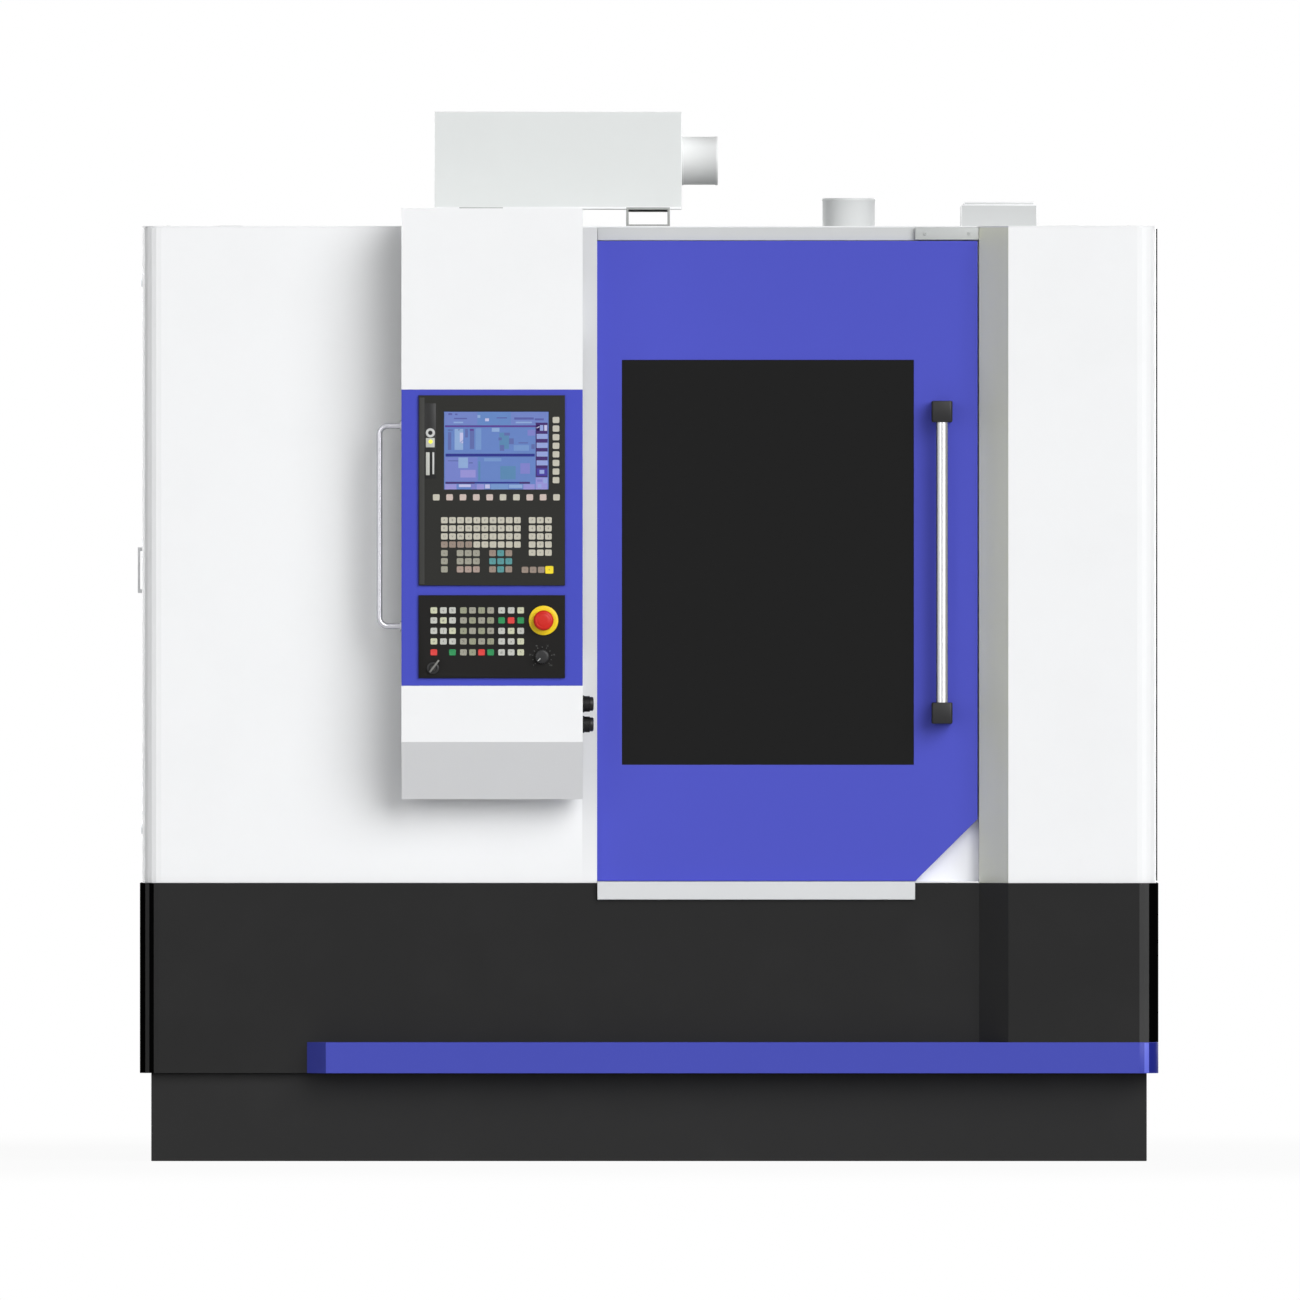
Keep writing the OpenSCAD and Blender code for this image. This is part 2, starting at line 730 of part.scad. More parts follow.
module door_window() {
  color("#242424") block([window_x[0] - rebate + gap, window_x[1] + rebate - gap],
    [door_front + door_sheet, door_front + door_sheet + pane_t],
    [window_z[0] - rebate + gap, window_z[1] + rebate - gap]);
}

module window_frame() {
  y = [door_front + door_sheet + pane_t, door_back - 2];
  color("#1c1c1c") difference() {
    block([window_x[0] - rebate + gap, window_x[1] + rebate - gap], y,
          [window_z[0] - rebate + gap, window_z[1] + rebate - gap]);
    block(window_x, [y[0] - eps, y[1] + eps], window_z);
  }
}

handle_y = door_front - handle_reach;
handle_foot = 17;      // depth of each black end from the tube's axis to its front

module door_handle_tube() {
  color("#c9ccd0") difference() {
    translate([handle_x, handle_y, handle_z - handle_l / 2]) cylinder(d = handle_d, h = handle_l);
    translate([handle_x, handle_y, handle_z - handle_l / 2 - eps])
      cylinder(d = handle_d - 6, h = handle_l + 2 * eps);
  }
}

module door_handle_ends() {
  color("#464646") for (s = [-1, 1]) {
    z = handle_z + (s > 0 ? handle_l / 2 : -handle_l / 2 - handle_end_h);
    translate([0, 0, z]) linear_extrude(handle_end_h) polygon(concat(
      [[handle_x - handle_end_w / 2, door_front]],
      arc_points([handle_x - handle_end_w / 2 + 6, handle_y - handle_foot + 6], 6, 180, 270),
      arc_points([handle_x + handle_end_w / 2 - 6, handle_y - handle_foot + 6], 6, 270, 360),
      [[handle_x + handle_end_w / 2, door_front]]));
  }
}

module door_carriages() {
  z = [rail_foot_z - 22, rail_foot_z + rail_flange[1] + 16];
  half = rail_flange[0] / 2;
  color("#55595c") for (x = hang_x) difference() {
    block([x, x + hang_w], [door_back, rail_y + half + 14], z);
    block([x - eps, x + hang_w + eps], [rail_y - half - seat, rail_y + half + seat],
          [rail_foot_z - seat, rail_foot_z + rail_flange[1] + seat]);
    block([x - eps, x + hang_w + eps], [rail_y - rail_web / 2 - seat, rail_y + rail_web / 2 + seat],
          [rail_foot_z, z[1] + eps]);
  }
}

// ---------- pendant ----------

pendant_x = [pendant_right - pendant_w, pendant_right];
pendant_y = [cover_front - standoff - pendant_d, cover_front - standoff];
pendant_z = [pendant_bottom, pendant_bottom + pendant_h];
panel_z = [panel_bottom, panel_bottom + panel_h];
panel_t = 3;
ledge = 15;
pendant_axis = [pendant_x[1] - 16, cover_front - standoff / 2];
hinge_low = 250;        // distance of the lower hinge from the pendant's lowest edge
hinge_high = 220;       // distance of the upper hinge from the pendant's top
hinge_room = 100;       // least distance of the upper hinge from the enclosure's roof
pendant_hinge_z = [pendant_z[0] + hinge_low,
                   min(pendant_z[1] - hinge_high, roof_under - hinge_room)];
pendant_lug_r = 15;
pendant_lug_h = 50;

module pendant_profile(i) {
  l = norm([bevel_d, bevel_h]);
  polygon([[pendant_y[0] + i, pendant_z[1] - i],
           [pendant_y[0] + i, pendant_z[0] + bevel_h + i * (l - bevel_h) / bevel_d],
           [pendant_y[0] + bevel_d + i * (l - bevel_d) / bevel_h, pendant_z[0] + i],
           [pendant_y[1] - i, pendant_z[0] + i], [pendant_y[1] - i, pendant_z[1] - i]]);
}

// Centres of the two control units
unit_x = pendant_x[0] + 36 + unit_w / 2;
unit_top = panel_z[1] - 12;
display_z = [unit_top - display_h, unit_top];
control_z = [panel_z[0] + 16, panel_z[0] + 16 + control_h];
display_body = 60;
control_body = 45;
body_inset = 8;       // how far the bodies of the units stay inside their bezels

module unit_hole(z, grow) {
  block([unit_x - unit_w / 2 + body_inset - grow, unit_x + unit_w / 2 - body_inset + grow],
        [pendant_y[0] - eps, pendant_y[0] + panel_t + eps],
        [z[0] + body_inset - grow, z[1] - body_inset + grow]);
}

plug_z = [pendant_z[0] + 157, pendant_z[0] + 200];
plug_y = pendant_y[0] + 50;
plug_shank = 12;
grab_y = (pendant_y[0] + pendant_y[1]) / 2;
grab_low = 357;         // height of the grab handle's foot above the pendant's lowest edge
grab_z = [pendant_z[0] + grab_low, pendant_z[0] + grab_low + grab_l];
grab_bend = 18;

module pendant_housing() {
  color("#f0f2f3") difference() {
    union() {
      difference() {
        side_profile(pendant_x) pendant_profile(0);
        side_profile([pendant_x[0] + pendant_sheet, pendant_x[1] - pendant_sheet])
          pendant_profile(pendant_sheet);
      }
      block([pendant_x[0] + eps, pendant_x[1] - eps],
            [pendant_y[0] + panel_t, pendant_y[0] + panel_t + pendant_sheet],
            [panel_z[0] - ledge, panel_z[1] + ledge]);
      for (z = pendant_hinge_z)
        hinge_knuckle(pendant_axis, z, hinge_r, pendant_lug_r, pendant_lug_h,
          [pendant_axis[0] - pendant_lug_r, pendant_axis[0] + pendant_lug_r],
          [pendant_y[1] - eps, pendant_axis[1]]);
    }
    block([pendant_x[0] - eps, pendant_x[1] + eps], [pendant_y[0] - eps, pendant_y[0] + panel_t],
          panel_z);
    block([pendant_x[0] + ledge, pendant_x[1] - ledge],
          [pendant_y[0] - eps, pendant_y[0] + panel_t + pendant_sheet + eps],
          [panel_z[0] + ledge, panel_z[1] - ledge]);
    for (z = plug_z)
      bar_x([pendant_x[1] - 6, pendant_x[1] + eps], plug_shank + run_fit, [plug_y, z]);
  }
}

module pendant_panel() {
  color("#4f56c3") difference() {
    block(pendant_x, [pendant_y[0], pendant_y[0] + panel_t], panel_z);
    unit_hole(display_z, gap);
    unit_hole(control_z, gap);
  }
}

screen_w = 220;
screen_h = 164;
screen_x = unit_x - unit_w / 2 + 53;
screen_top = display_z[1] - 34;
bezel_y = pendant_y[0] - unit_t;
pane_in = 2;           // how deep the screen is let into the bezel

module display_unit() {
  color("#33342f") difference() {
    union() {
      block([unit_x - unit_w / 2, unit_x + unit_w / 2], [bezel_y, pendant_y[0]], display_z);
      block([unit_x - unit_w / 2 + body_inset, unit_x + unit_w / 2 - body_inset],
            [pendant_y[0] - eps, pendant_y[0] + display_body],
            [display_z[0] + body_inset, display_z[1] - body_inset]);
    }
    block([screen_x, screen_x + screen_w], [bezel_y - eps, bezel_y + pane_in],
          [screen_top - screen_h, screen_top]);
  }
}

module display_screen() {
  color("#7997ca") block([screen_x + gap, screen_x + screen_w - gap],
    [bezel_y + pane_in / 2, bezel_y + pane_in],
    [screen_top - screen_h + gap, screen_top - gap]);
}

// Key fields: [first key's x from the bezel's left, first key's z from its top, columns, rows]
key_pitch = 17;
letter_keys = [54, 262, 10, 4];
number_keys = [238, 262, 3, 5];
function_keys = [54, 331, 1, 3];
page_keys = [87, 331, 3, 3];
soft_keys_low = [37, 214, 10, 1];
soft_keys_side = [288, 52, 1, 8];
start_keys = [223, 366, 4, 1];
arrow_keys = [155, 331, 3, 3];

module key(x, z, w, h, face) {
  block([x - w / 2, x + w / 2], [face - key_t, face], [z - h / 2, z + h / 2]);
}

module key_field(field, pitch_x, pitch_z, left, top) {
  for (i = [0:field[2] - 1], j = [0:field[3] - 1])
    key(left + field[0] + i * pitch_x, top - field[1] - j * pitch_z, key_w, key_h, bezel_y);
}

module display_keys() {
  left = unit_x - unit_w / 2;
  top = display_z[1];
  color("#c9c2b4") {
    for (field = [letter_keys, number_keys, function_keys, page_keys])
      key_field(field, key_pitch, key_pitch, left, top);
    key_field(start_keys, key_pitch, key_pitch, left, top);
    key_field(soft_keys_low, 28, key_pitch, left, top);
    key_field(soft_keys_side, key_pitch, 18, left, top);
  }
}

module cursor_keys() {
  color("#3c8d8b") key_field(arrow_keys, key_pitch, key_pitch, unit_x - unit_w / 2, display_z[1]);
}

// Machine control unit: columns of keys, five rows
control_cols = [32, 52, 71, 94, 113, 132, 151, 174, 194, 214];
control_rows = [32, 53, 75, 97, 120];
red_keys = [[0, 4], [5, 4], [8, 1]];
green_keys = [[2, 4], [6, 4], [7, 1], [9, 1]];
bare_keys = [[1, 4]];
stop_at = [262, 53];
knob_at = [259, 129];
lock_at = [30, 153];

function lists(keys, k) = len([for (v = keys) if (v == k) v]) > 0;

function unit_point(at) = [unit_x - unit_w / 2 + at[0], control_z[1] - at[1]];

module control_key(c, r) {
  at = unit_point([control_cols[c], control_rows[r]]);
  key(at[0], at[1], key_w, key_h, bezel_y);
}

stop_at_xz = unit_point(stop_at);
knob_at_xz = unit_point(knob_at);
lock_at_xz = unit_point(lock_at);
stop_shaft_r = 11;
stop_shaft_l = 30;
knob_shaft_l = 18;
knob_shaft_r = 4;
lock_r = 11;
knob_rest = 225;       // the pointer's angle at zero, clockwise from the top

module control_unit() {
  color("#292725") difference() {
    union() {
      block([unit_x - unit_w / 2, unit_x + unit_w / 2], [bezel_y, pendant_y[0]], control_z);
      block([unit_x - unit_w / 2 + body_inset, unit_x + unit_w / 2 - body_inset],
            [pendant_y[0] - eps, pendant_y[0] + control_body],
            [control_z[0] + body_inset, control_z[1] - body_inset]);
    }
    bar_y([bezel_y - eps, bezel_y + stop_shaft_l + stop_travel + 4], stop_shaft_r + run_fit,
          stop_at_xz);
    bar_y([bezel_y - eps, bezel_y + knob_shaft_l + 2], knob_shaft_r + run_fit, knob_at_xz);
    bar_y([bezel_y - eps, bezel_y + knob_shaft_l + 2], lock_r + run_fit, lock_at_xz);
  }
}

module control_keys() {
  other = concat(red_keys, green_keys, bare_keys);
  color("#cfcdc6") for (c = [0:9], r = [0:4]) if (!lists(other, [c, r])) control_key(c, r);
}

module control_red_keys() {
  color("#c03328") for (k = red_keys) control_key(k[0], k[1]);
}

module control_green_keys() {
  color("#3f9a4d") for (k = green_keys) control_key(k[0], k[1]);
}

stop_collar_t = 4;

module stop_collar() {
  color("#edc02b") difference() {
    bar_y([bezel_y - stop_collar_t, bezel_y], collar_d / 2, stop_at_xz);
    bar_y([bezel_y - stop_collar_t - eps, bezel_y + eps], stop_shaft_r + run_fit, stop_at_xz);
  }
}

module stop_button() {
  back = bezel_y - stop_collar_t - stop_travel - gap;
  color("#c53327") {
    bar_y([back - eps, bezel_y + stop_shaft_l], stop_shaft_r, stop_at_xz);
    translate([stop_at_xz[0], back, stop_at_xz[1]]) rotate([90, 0, 0]) rotate_extrude()
      polygon([[0, 0], [stop_d / 2 - 2, 0], [stop_d / 2, 3], [stop_d / 2, 9],
               [stop_d / 2 - 4, 14], [stop_d / 2 - 10, 16], [0, 16.5]]);
  }
}

module override_knob() {
  color("#2b2b2b") {
    bar_y([bezel_y - eps, bezel_y + knob_shaft_l], knob_shaft_r, knob_at_xz);
    bar_y([bezel_y - 4, bezel_y - seat], knob_d / 2, knob_at_xz);
    bar_y([bezel_y - 15, bezel_y - 3], knob_d / 2 - 4, knob_at_xz);
    translate([knob_at_xz[0], 0, knob_at_xz[1]]) rotate([0, knob_rest, 0])
      block([-2, 2], [bezel_y - 16, bezel_y - 5], [0, knob_d / 2 - 3]);
  }
}

module key_switch() {
  color("#b5b8ba") difference() {
    union() {
      bar_y([bezel_y - eps, bezel_y + knob_shaft_l], lock_r, lock_at_xz);
      bar_y([bezel_y - 5, bezel_y - seat], lock_r + 2, lock_at_xz);
    }
    block([lock_at_xz[0] - 1, lock_at_xz[0] + 1], [bezel_y - 6, bezel_y],
          [lock_at_xz[1] - 5, lock_at_xz[1] + 5]);
  }
}

module service_plugs() {
  color("#2a2a2a") for (z = plug_z) {
    bar_x([pendant_x[1], pendant_x[1] + 15], plug_d / 2, [plug_y, z]);
    bar_x([pendant_x[1] + 14, pendant_x[1] + 23], plug_d / 2 - 3, [plug_y, z]);
    bar_x([pendant_x[1] - pendant_sheet - 3, pendant_x[1] + eps], plug_shank, [plug_y, z]);
  }
}

// Bent round rod with two foot plates
module grab_handle() {
  r = grab_d / 2;
  x = pendant_x[0] - grab_reach;
  color("#e3e5e6") {
    translate([x, grab_y, grab_z[0] + r + grab_bend])
      cylinder(r = r, h = grab_l - 2 * r - 2 * grab_bend);
    for (s = [0, 1]) {
      z = s == 0 ? grab_z[0] + r : grab_z[1] - r;
      translate([x + grab_bend, grab_y, s == 0 ? z + grab_bend : z - grab_bend])
        rotate([90, 0, 0]) rotate([0, 0, s == 0 ? 180 : 90])
          rotate_extrude(angle = 90) translate([grab_bend, 0]) circle(r = r);
      bar_x([x + grab_bend, pendant_x[0] - 2], r, [grab_y, z]);
      bar_x([pendant_x[0] - 3, pendant_x[0]], r + 5, [grab_y, z]);
    }
  }
}

plate_t = 4;
plate_x = [40, 15];     // how far each hinge plate reaches beside the hinge axis
plate_z = [30, 10];     // how far it reaches below and above the hinge

module pendant_bracket() {
  color("#d9dbdb") for (z = pendant_hinge_z) {
    hinge_lug(pendant_axis, z, hinge_r, pendant_lug_r, pendant_lug_h, cover_front - plate_t);
    block([pendant_axis[0] - plate_x[0], pendant_axis[0] + plate_x[1]],
          [cover_front - plate_t, cover_front],
          [z - pendant_lug_h - plate_z[0], z + pendant_lug_h + plate_z[1]]);
  }
}

// ---------- column and hob head ----------

column_x = [bed_x[0] + column_left, bed_x[0] + column_left + column_w];
column_y = [table_y - column_d / 2, table_y + column_d / 2];
column_foot = way_top + seat;
column_foot_t = 60;
foot_over = 15;                      // how far the foot reaches past the ways
column_foot_y = [table_y - way_off - way_w - foot_over, table_y + way_off + way_w + foot_over];
slot_hw = 70;                        // half width of the slot in the column's front
nut_hw = 50;
nut_h = 100;
axial_in = 60;                       // distance of the axial screw from the column's front
axial_x = column_x[1] - axial_in;
axial_bearing_h = 40;
axial_bearing_z = column_foot + column_foot_t + axial_bearing_h;
nut_in = 210;                        // distance of the radial feed nut from the column's left
nut_x = column_x[0] + nut_in;
nut_w = 60;
nut_low = 2;                         // gap under the radial feed nut
socket = 30;                         // how deep the axial screw stands in the column's foot
motor_side = 130;
motor_h = 200;
motor_foot = 20;
motor_cut = 10;                      // room between the motor and the slide's nut

module column() {
  color("#e9ebec") difference() {
    union() {
      block(column_x, column_y, [column_foot, column_top_z]);
      block(column_x, column_foot_y, [column_foot, column_foot + column_foot_t]);
      block([nut_x, nut_x + nut_w], [table_y - nut_hw, table_y + nut_hw],
            [bed_top + nut_low, column_foot + eps]);
    }
    block([column_x[0] + column_wall, column_x[1] - column_wall],
          [column_y[0] + column_wall, column_y[1] - column_wall],
          [column_foot + column_foot_t, column_top_z - column_wall]);
    block([column_x[1] - column_wall - eps, column_x[1] + eps],
          [table_y - slot_hw, table_y + slot_hw],
          [axial_bearing_z, column_top_z - column_wall]);
    translate([axial_x, table_y, column_foot + column_foot_t - socket])
      cylinder(r = screw_r + run_fit, h = column_top_z);
    bar_x([nut_x - eps, nut_x + nut_w + eps], screw_r + run_fit, [table_y, screw_z]);
  }
}

module axial_motor() {
  color("#3a3d40") {
    difference() {
      block([axial_x - motor_side / 2, axial_x + motor_side / 2 - motor_cut],
            [table_y - motor_side / 2, table_y + motor_side / 2], [column_top_z, column_top_z + motor_h]);
      translate([axial_x, table_y, column_top_z - eps])
        cylinder(r = screw_r + run_fit, h = 40);
    }
    for (s = [-1, 1])
      block([axial_x - motor_side / 2 - motor_foot, axial_x + motor_side / 2 - motor_cut],
            [table_y + s * motor_side / 2 - (s < 0 ? motor_foot : 0),
             table_y + s * motor_side / 2 + (s < 0 ? 0 : motor_foot)],
            [column_top_z, column_top_z + 16]);
  }
}

screw_end = 2;                       // end clearance of a screw in its socket

module axial_screw() {
  low = column_foot + column_foot_t - socket + screw_end;
  color("#c4c7c9") translate([axial_x, table_y, low])
    cylinder(r = screw_r, h = column_top_z + socket - low);
}

motor_socket = 30;                   // depth of the motor's socket for the radial screw
socket_room = 12;                    // room behind the radial screw in that socket

module radial_screw() {
  color("#c4c7c9") bar_x([bed_x[0] - motor_socket + socket_room, way_x[1] - 5], screw_r,
                         [table_y, screw_z]);
}

motor_l = 54;
motor_d = 76;

module feed_motor() {
  color("#3a3d40") difference() {
    bar_x([bed_x[0] - motor_l, bed_x[0]], motor_d / 2, [table_y, screw_z]);
    bar_x([bed_x[0] - motor_socket, bed_x[0] + eps], screw_r + run_fit, [table_y, screw_z]);
  }
}

slide_x = [column_x[1] + seat, column_x[1] + seat + slide_t];
disc_t = 50;
head_t = 100;
shift_t = 50;
disc_x = [slide_x[1] + seat, slide_x[1] + seat + disc_t];
head_x = [disc_x[1], disc_x[1] + head_t];
shift_x = [head_x[1] + seat, head_x[1] + seat + shift_t];
hob_out = 64;                        // distance of the hob's axis from the shift slide
hob_x = shift_x[1] + hob_out;
pivot_r = 45;
pivot_l = 40;
pivot_room = 10;                     // depth of the pivot's hole behind the pivot
keep_t = 30;                         // thickness of the keeps at the column's sides
keep_l = 60;                         // how far the keeps reach round the column

module axial_slide() {
  z = [hob_z - slide_h / 2, hob_z + slide_h / 2];
  color("#dfe1e2") difference() {
    union() {
      block(slide_x, column_y, z);
      block([axial_x - nut_hw, slide_x[0] + eps], [table_y - nut_hw, table_y + nut_hw],
            [hob_z - nut_h / 2, hob_z + nut_h / 2]);
      // keeps that hook round the column's sides
      for (s = [-1, 1])
        block([column_x[1] - keep_l, slide_x[0] + eps],
              [s < 0 ? column_y[0] - keep_t : column_y[1] + seat,
               s < 0 ? column_y[0] - seat : column_y[1] + keep_t], z);
      for (s = [-1, 1])
        block([slide_x[0], slide_x[1]],
              [s < 0 ? column_y[0] - keep_t : column_y[1] - eps,
               s < 0 ? column_y[0] + eps : column_y[1] + keep_t], z);
    }
    translate([axial_x, table_y, hob_z - nut_h]) cylinder(r = screw_r + run_fit, h = 2 * nut_h);
    bar_x([slide_x[1] - pivot_l - pivot_room, slide_x[1] + eps], pivot_r + run_fit,
          [table_y, hob_z]);
  }
}

head_hw = 230;
head_hh = 110;
groove_d = 20;                       // depth of the groove that guides the shift slide
groove_hh = 30;                      // half height of that groove's tongue

module hob_head() {
  color("#e9ebec") {
    bar_x([disc_x[0], disc_x[1] + eps], disc_d / 2, [table_y, hob_z]);
    bar_x([slide_x[1] - pivot_l, disc_x[0] + eps], pivot_r, [table_y, hob_z]);
    difference() {
      block(head_x, [table_y - head_hw, table_y + head_hw], [hob_z - head_hh, hob_z + head_hh]);
      // keyway groove for the shift slide
      block([head_x[1] - groove_d, head_x[1] + eps],
            [table_y - head_hw - eps, table_y + head_hw + eps],
            [hob_z - groove_hh - seat, hob_z + groove_hh + seat]);
    }
  }
}

shift_hw = 200;
shift_hh = 90;
spindle_motor_r = 63;
bearing_half = 60;
bearing_room = 30;                   // room between the hob and its bearings
arbor_r = arbor_d / 2;
ring_l = 28;                         // length of the arbor's rings beside the hob
ring_t = 14;

arbor_in = 30;                       // how far the arbor reaches into its motor

module hob_slide() {
  color("#cfd2d3") difference() {
    union() {
      block(shift_x, [table_y - shift_hw, table_y + shift_hw],
            [hob_z - shift_hh, hob_z + shift_hh]);
      block([head_x[1] - groove_d + seat, shift_x[0] + eps],
            [table_y - shift_hw, table_y + shift_hw], [hob_z - groove_hh, hob_z + groove_hh]);
      // front bearing
      block([shift_x[1] - eps, hob_x + bearing_half],
            [table_y - spindle_front, table_y - hob_l / 2 - bearing_room],
            [hob_z - bearing_half, hob_z + bearing_half]);
      block([shift_x[0], shift_x[1]], [table_y - spindle_front, table_y - shift_hw + eps],
            [hob_z - bearing_half, hob_z + bearing_half]);
      // spindle head and its motor
      block([shift_x[1] - eps, hob_x + bearing_half],
            [table_y + hob_l / 2 + bearing_room, table_y + shift_hw],
            [hob_z - bearing_half, hob_z + bearing_half]);
      bar_y([table_y + shift_hw - eps, table_y + spindle_rear], spindle_motor_r, [hob_x, hob_z]);
    }
    bar_y([table_y - spindle_front - eps, table_y + shift_hw + arbor_in + 10],
          arbor_r + run_fit, [hob_x, hob_z]);
  }
}

module hob_arbor() {
  color("#9da2a5") {
    bar_y([table_y - spindle_front + 10, table_y + shift_hw + arbor_in], arbor_r,
          [hob_x, hob_z]);
    for (s = [-1, 1])
      bar_y([table_y + s * (hob_l + ring_l) / 2 - ring_l / 2,
             table_y + s * (hob_l + ring_l) / 2 + ring_l / 2], arbor_r + ring_t, [hob_x, hob_z]);
  }
}

hob_root_r = hob_d / 2 - 13;
module hob_cutter() {
  pitch = (hob_l - 20) / hob_rows;
  color("#b79a4b") difference() {
    translate([hob_x, table_y - hob_l / 2, hob_z]) rotate([-90, 0, 0]) rotate_extrude()
      polygon(concat(
        [[arbor_r + run_fit, 0], [hob_root_r, 0], [hob_root_r, 10]],
        [for (i = [0:hob_rows - 1]) each
          [[hob_root_r, 10 + (i + 0.12) * pitch], [hob_d / 2, 10 + (i + 0.38) * pitch],
           [hob_d / 2, 10 + (i + 0.62) * pitch], [hob_root_r, 10 + (i + 0.88) * pitch]]],
        [[hob_root_r, hob_l], [arbor_r + run_fit, hob_l]]));
    for (i = [0:hob_gashes - 1])
      translate([hob_x, table_y, hob_z]) rotate([0, i * 360 / hob_gashes, 0])
        block([hob_root_r - 4, hob_d], [10 - hob_l / 2, hob_l / 2 - 10], [-5, 5]);
  }
}

// ---------- work table ----------

spindle_l = housing_h - 40;
table_z = bed_top + housing_h + seat;

module table_housing() {
  color("#8d9394") difference() {
    translate([table_x, table_y, bed_top]) cylinder(d = housing_d, h = housing_h);
    translate([table_x, table_y, bed_top + 35])
      cylinder(r = spindle_d / 2 + run_fit, h = housing_h);
  }
}

module work_table() {
  color("#aeb3b5") difference() {
    union() {
      translate([table_x, table_y, table_z]) cylinder(d = table_d, h = table_t);
      translate([table_x, table_y, table_z - spindle_l])
        cylinder(d = spindle_d, h = spindle_l + eps);
    }
    translate([table_x, table_y, table_z - spindle_l - eps])
      cylinder(d = bore_d, h = spindle_l + table_t + 2 * eps);
    for (i = [0:clamp_count - 1])
      translate([table_x, table_y, table_z + table_t - 40]) rotate([0, 0, i * 360 / clamp_count])
        translate([clamp_pcd / 2, 0, 0]) cylinder(d = clamp_hole, h = 40 + eps);
  }
}

// ---------- tailstock ----------

tail_x = [bed_x[1] - tail_w, bed_x[1]];
tail_y = [table_y - tail_d / 2, table_y + tail_d / 2];
tail_slide_t = 78;
tail_slide_h = 300;
tail_slide_hw = 150;
tail_rib = 24;
rib_hw = 20;
rib_off = 100;      // distance of each rib's middle from the table's centre plane
boss_r = 45;
boss_over = 10;     // how far the boss of the live centre stands out of the arm
centre_r = centre_d / 2;

module tail_column() {
  color("#e9ebec") {
    block(tail_x, tail_y, [bed_top, tail_top_z]);
    for (s = [-1, 1])
      block([tail_x[0] - tail_rib, tail_x[0] + eps],
            [table_y + s * rib_off - rib_hw, table_y + s * rib_off + rib_hw],
            [way_top + 100, tail_top_z - 30]);
  }
}

module tail_arm() {
  z = [arm_z - tail_slide_h / 2, arm_z + tail_slide_h / 2];
  face = tail_x[0] - seat;
  color("#dfe1e2") difference() {
    union() {
      block([face - tail_slide_t, face], [table_y - tail_slide_hw, table_y + tail_slide_hw], z);
      block([table_x, face - tail_slide_t + eps], [table_y - 60, table_y + 60],
            [arm_z - arm_h / 2, arm_z + arm_h / 2]);
      translate([table_x, table_y, arm_z - arm_h / 2 - boss_over])
        cylinder(r = boss_r, h = arm_h + 2 * boss_over);
    }
    for (s = [-1, 1])
      block([face - tail_rib - seat, face + eps],
            [table_y + s * rib_off - rib_hw - seat, table_y + s * rib_off + rib_hw + seat],
            [z[0] - eps, z[1] + eps]);
    translate([table_x, table_y, arm_z - arm_h]) cylinder(r = centre_r + run_fit, h = 2 * arm_h);
  }
}

module live_centre() {
  low = arm_z - arm_h / 2 - boss_over;
  color("#9da2a5") translate([table_x, table_y, 0]) rotate_extrude() polygon([
    [0, low - 90], [centre_r + 8, low - 40], [centre_r + 8, low - seat], [centre_r, low - seat],
    [centre_r, low + arm_h + 20 + seat], [centre_r + 8, low + arm_h + 20 + seat],
    [centre_r + 8, low + arm_h + 30], [0, low + arm_h + 30]]);
}

// ---------- trays ----------

tray_over = 4;      // how far the trays reach past the bed's ends
tray_x = [bed_x[0] - tray_over, bed_x[1] + tray_over];
tray_lap = 30;      // how far a tray's flat rims lie on what carries them

// Sheet bent from rim to rim: [y, z] of the upper face's two bends
module tray(low, high, x) {
  dir = high[0] > low[0] ? 1 : -1;
  rim_low = low + [-dir * tray_lap, 0];
  rim_high = high + [dir * tray_lap, 0];
  down = [0, -sheet_t];
  side_profile(x) polygon([rim_low, low, high, rim_high,
                           rim_high + down, high + down, low + down, rim_low + down]);
}

module splash_trays() {
  front_z = skirt_top - sheet_t;
  front_low = [bed_y[0] - gap, bed_top + sheet_t];
  front_high = [skirt_front + skirt_fold + 2, front_z];
  rear_low = [bed_y[1] + gap, bed_top + sheet_t];
  rear_high = [cabinet_y[0] - gap - tray_lap, cabinet_z[0] - 40];
  color("#b9bdbe") {
    tray(front_low, front_high, [tray_x[0], opening_right - 5]);
    difference() {
      tray(rear_low, rear_high, tray_x);
      block([conveyor_x[0] + 20, conveyor_x[1] - 20], [rear_low[0] + 30, rear_low[0] + 260],
            [bed_top - 20, cabinet_z[0]]);
    }
    // brackets under the rear tray's upper rim
    for (x = [tray_x[0] + 60, tray_x[1] - 100])
      block([x, x + 40], [rear_high[0], rear_high[0] + 25],
            [plinth_h, rear_high[1] - sheet_t + eps]);
  }
}

// ---------- electric cabinet ----------

cabinet_sheet = 3;

module electric_cabinet() {
  y_stand = [cabinet_y[0] + 40, skirt_rear - skirt_fold - 5];
  color("#d5d7d6") {
    difference() {
      block(cabinet_x, cabinet_y, cabinet_z);
      block([cabinet_x[0] + cabinet_sheet, cabinet_x[1] - cabinet_sheet],
            [cabinet_y[0] + cabinet_sheet, cabinet_y[1] + eps],
            [cabinet_z[0] + cabinet_sheet, cabinet_z[1] - cabinet_sheet]);
    }
    for (x = [cabinet_x[0] + 60, cabinet_x[1] - 140])
      block([x, x + 80], y_stand, [plinth_h, cabinet_z[0] + eps]);
  }
}

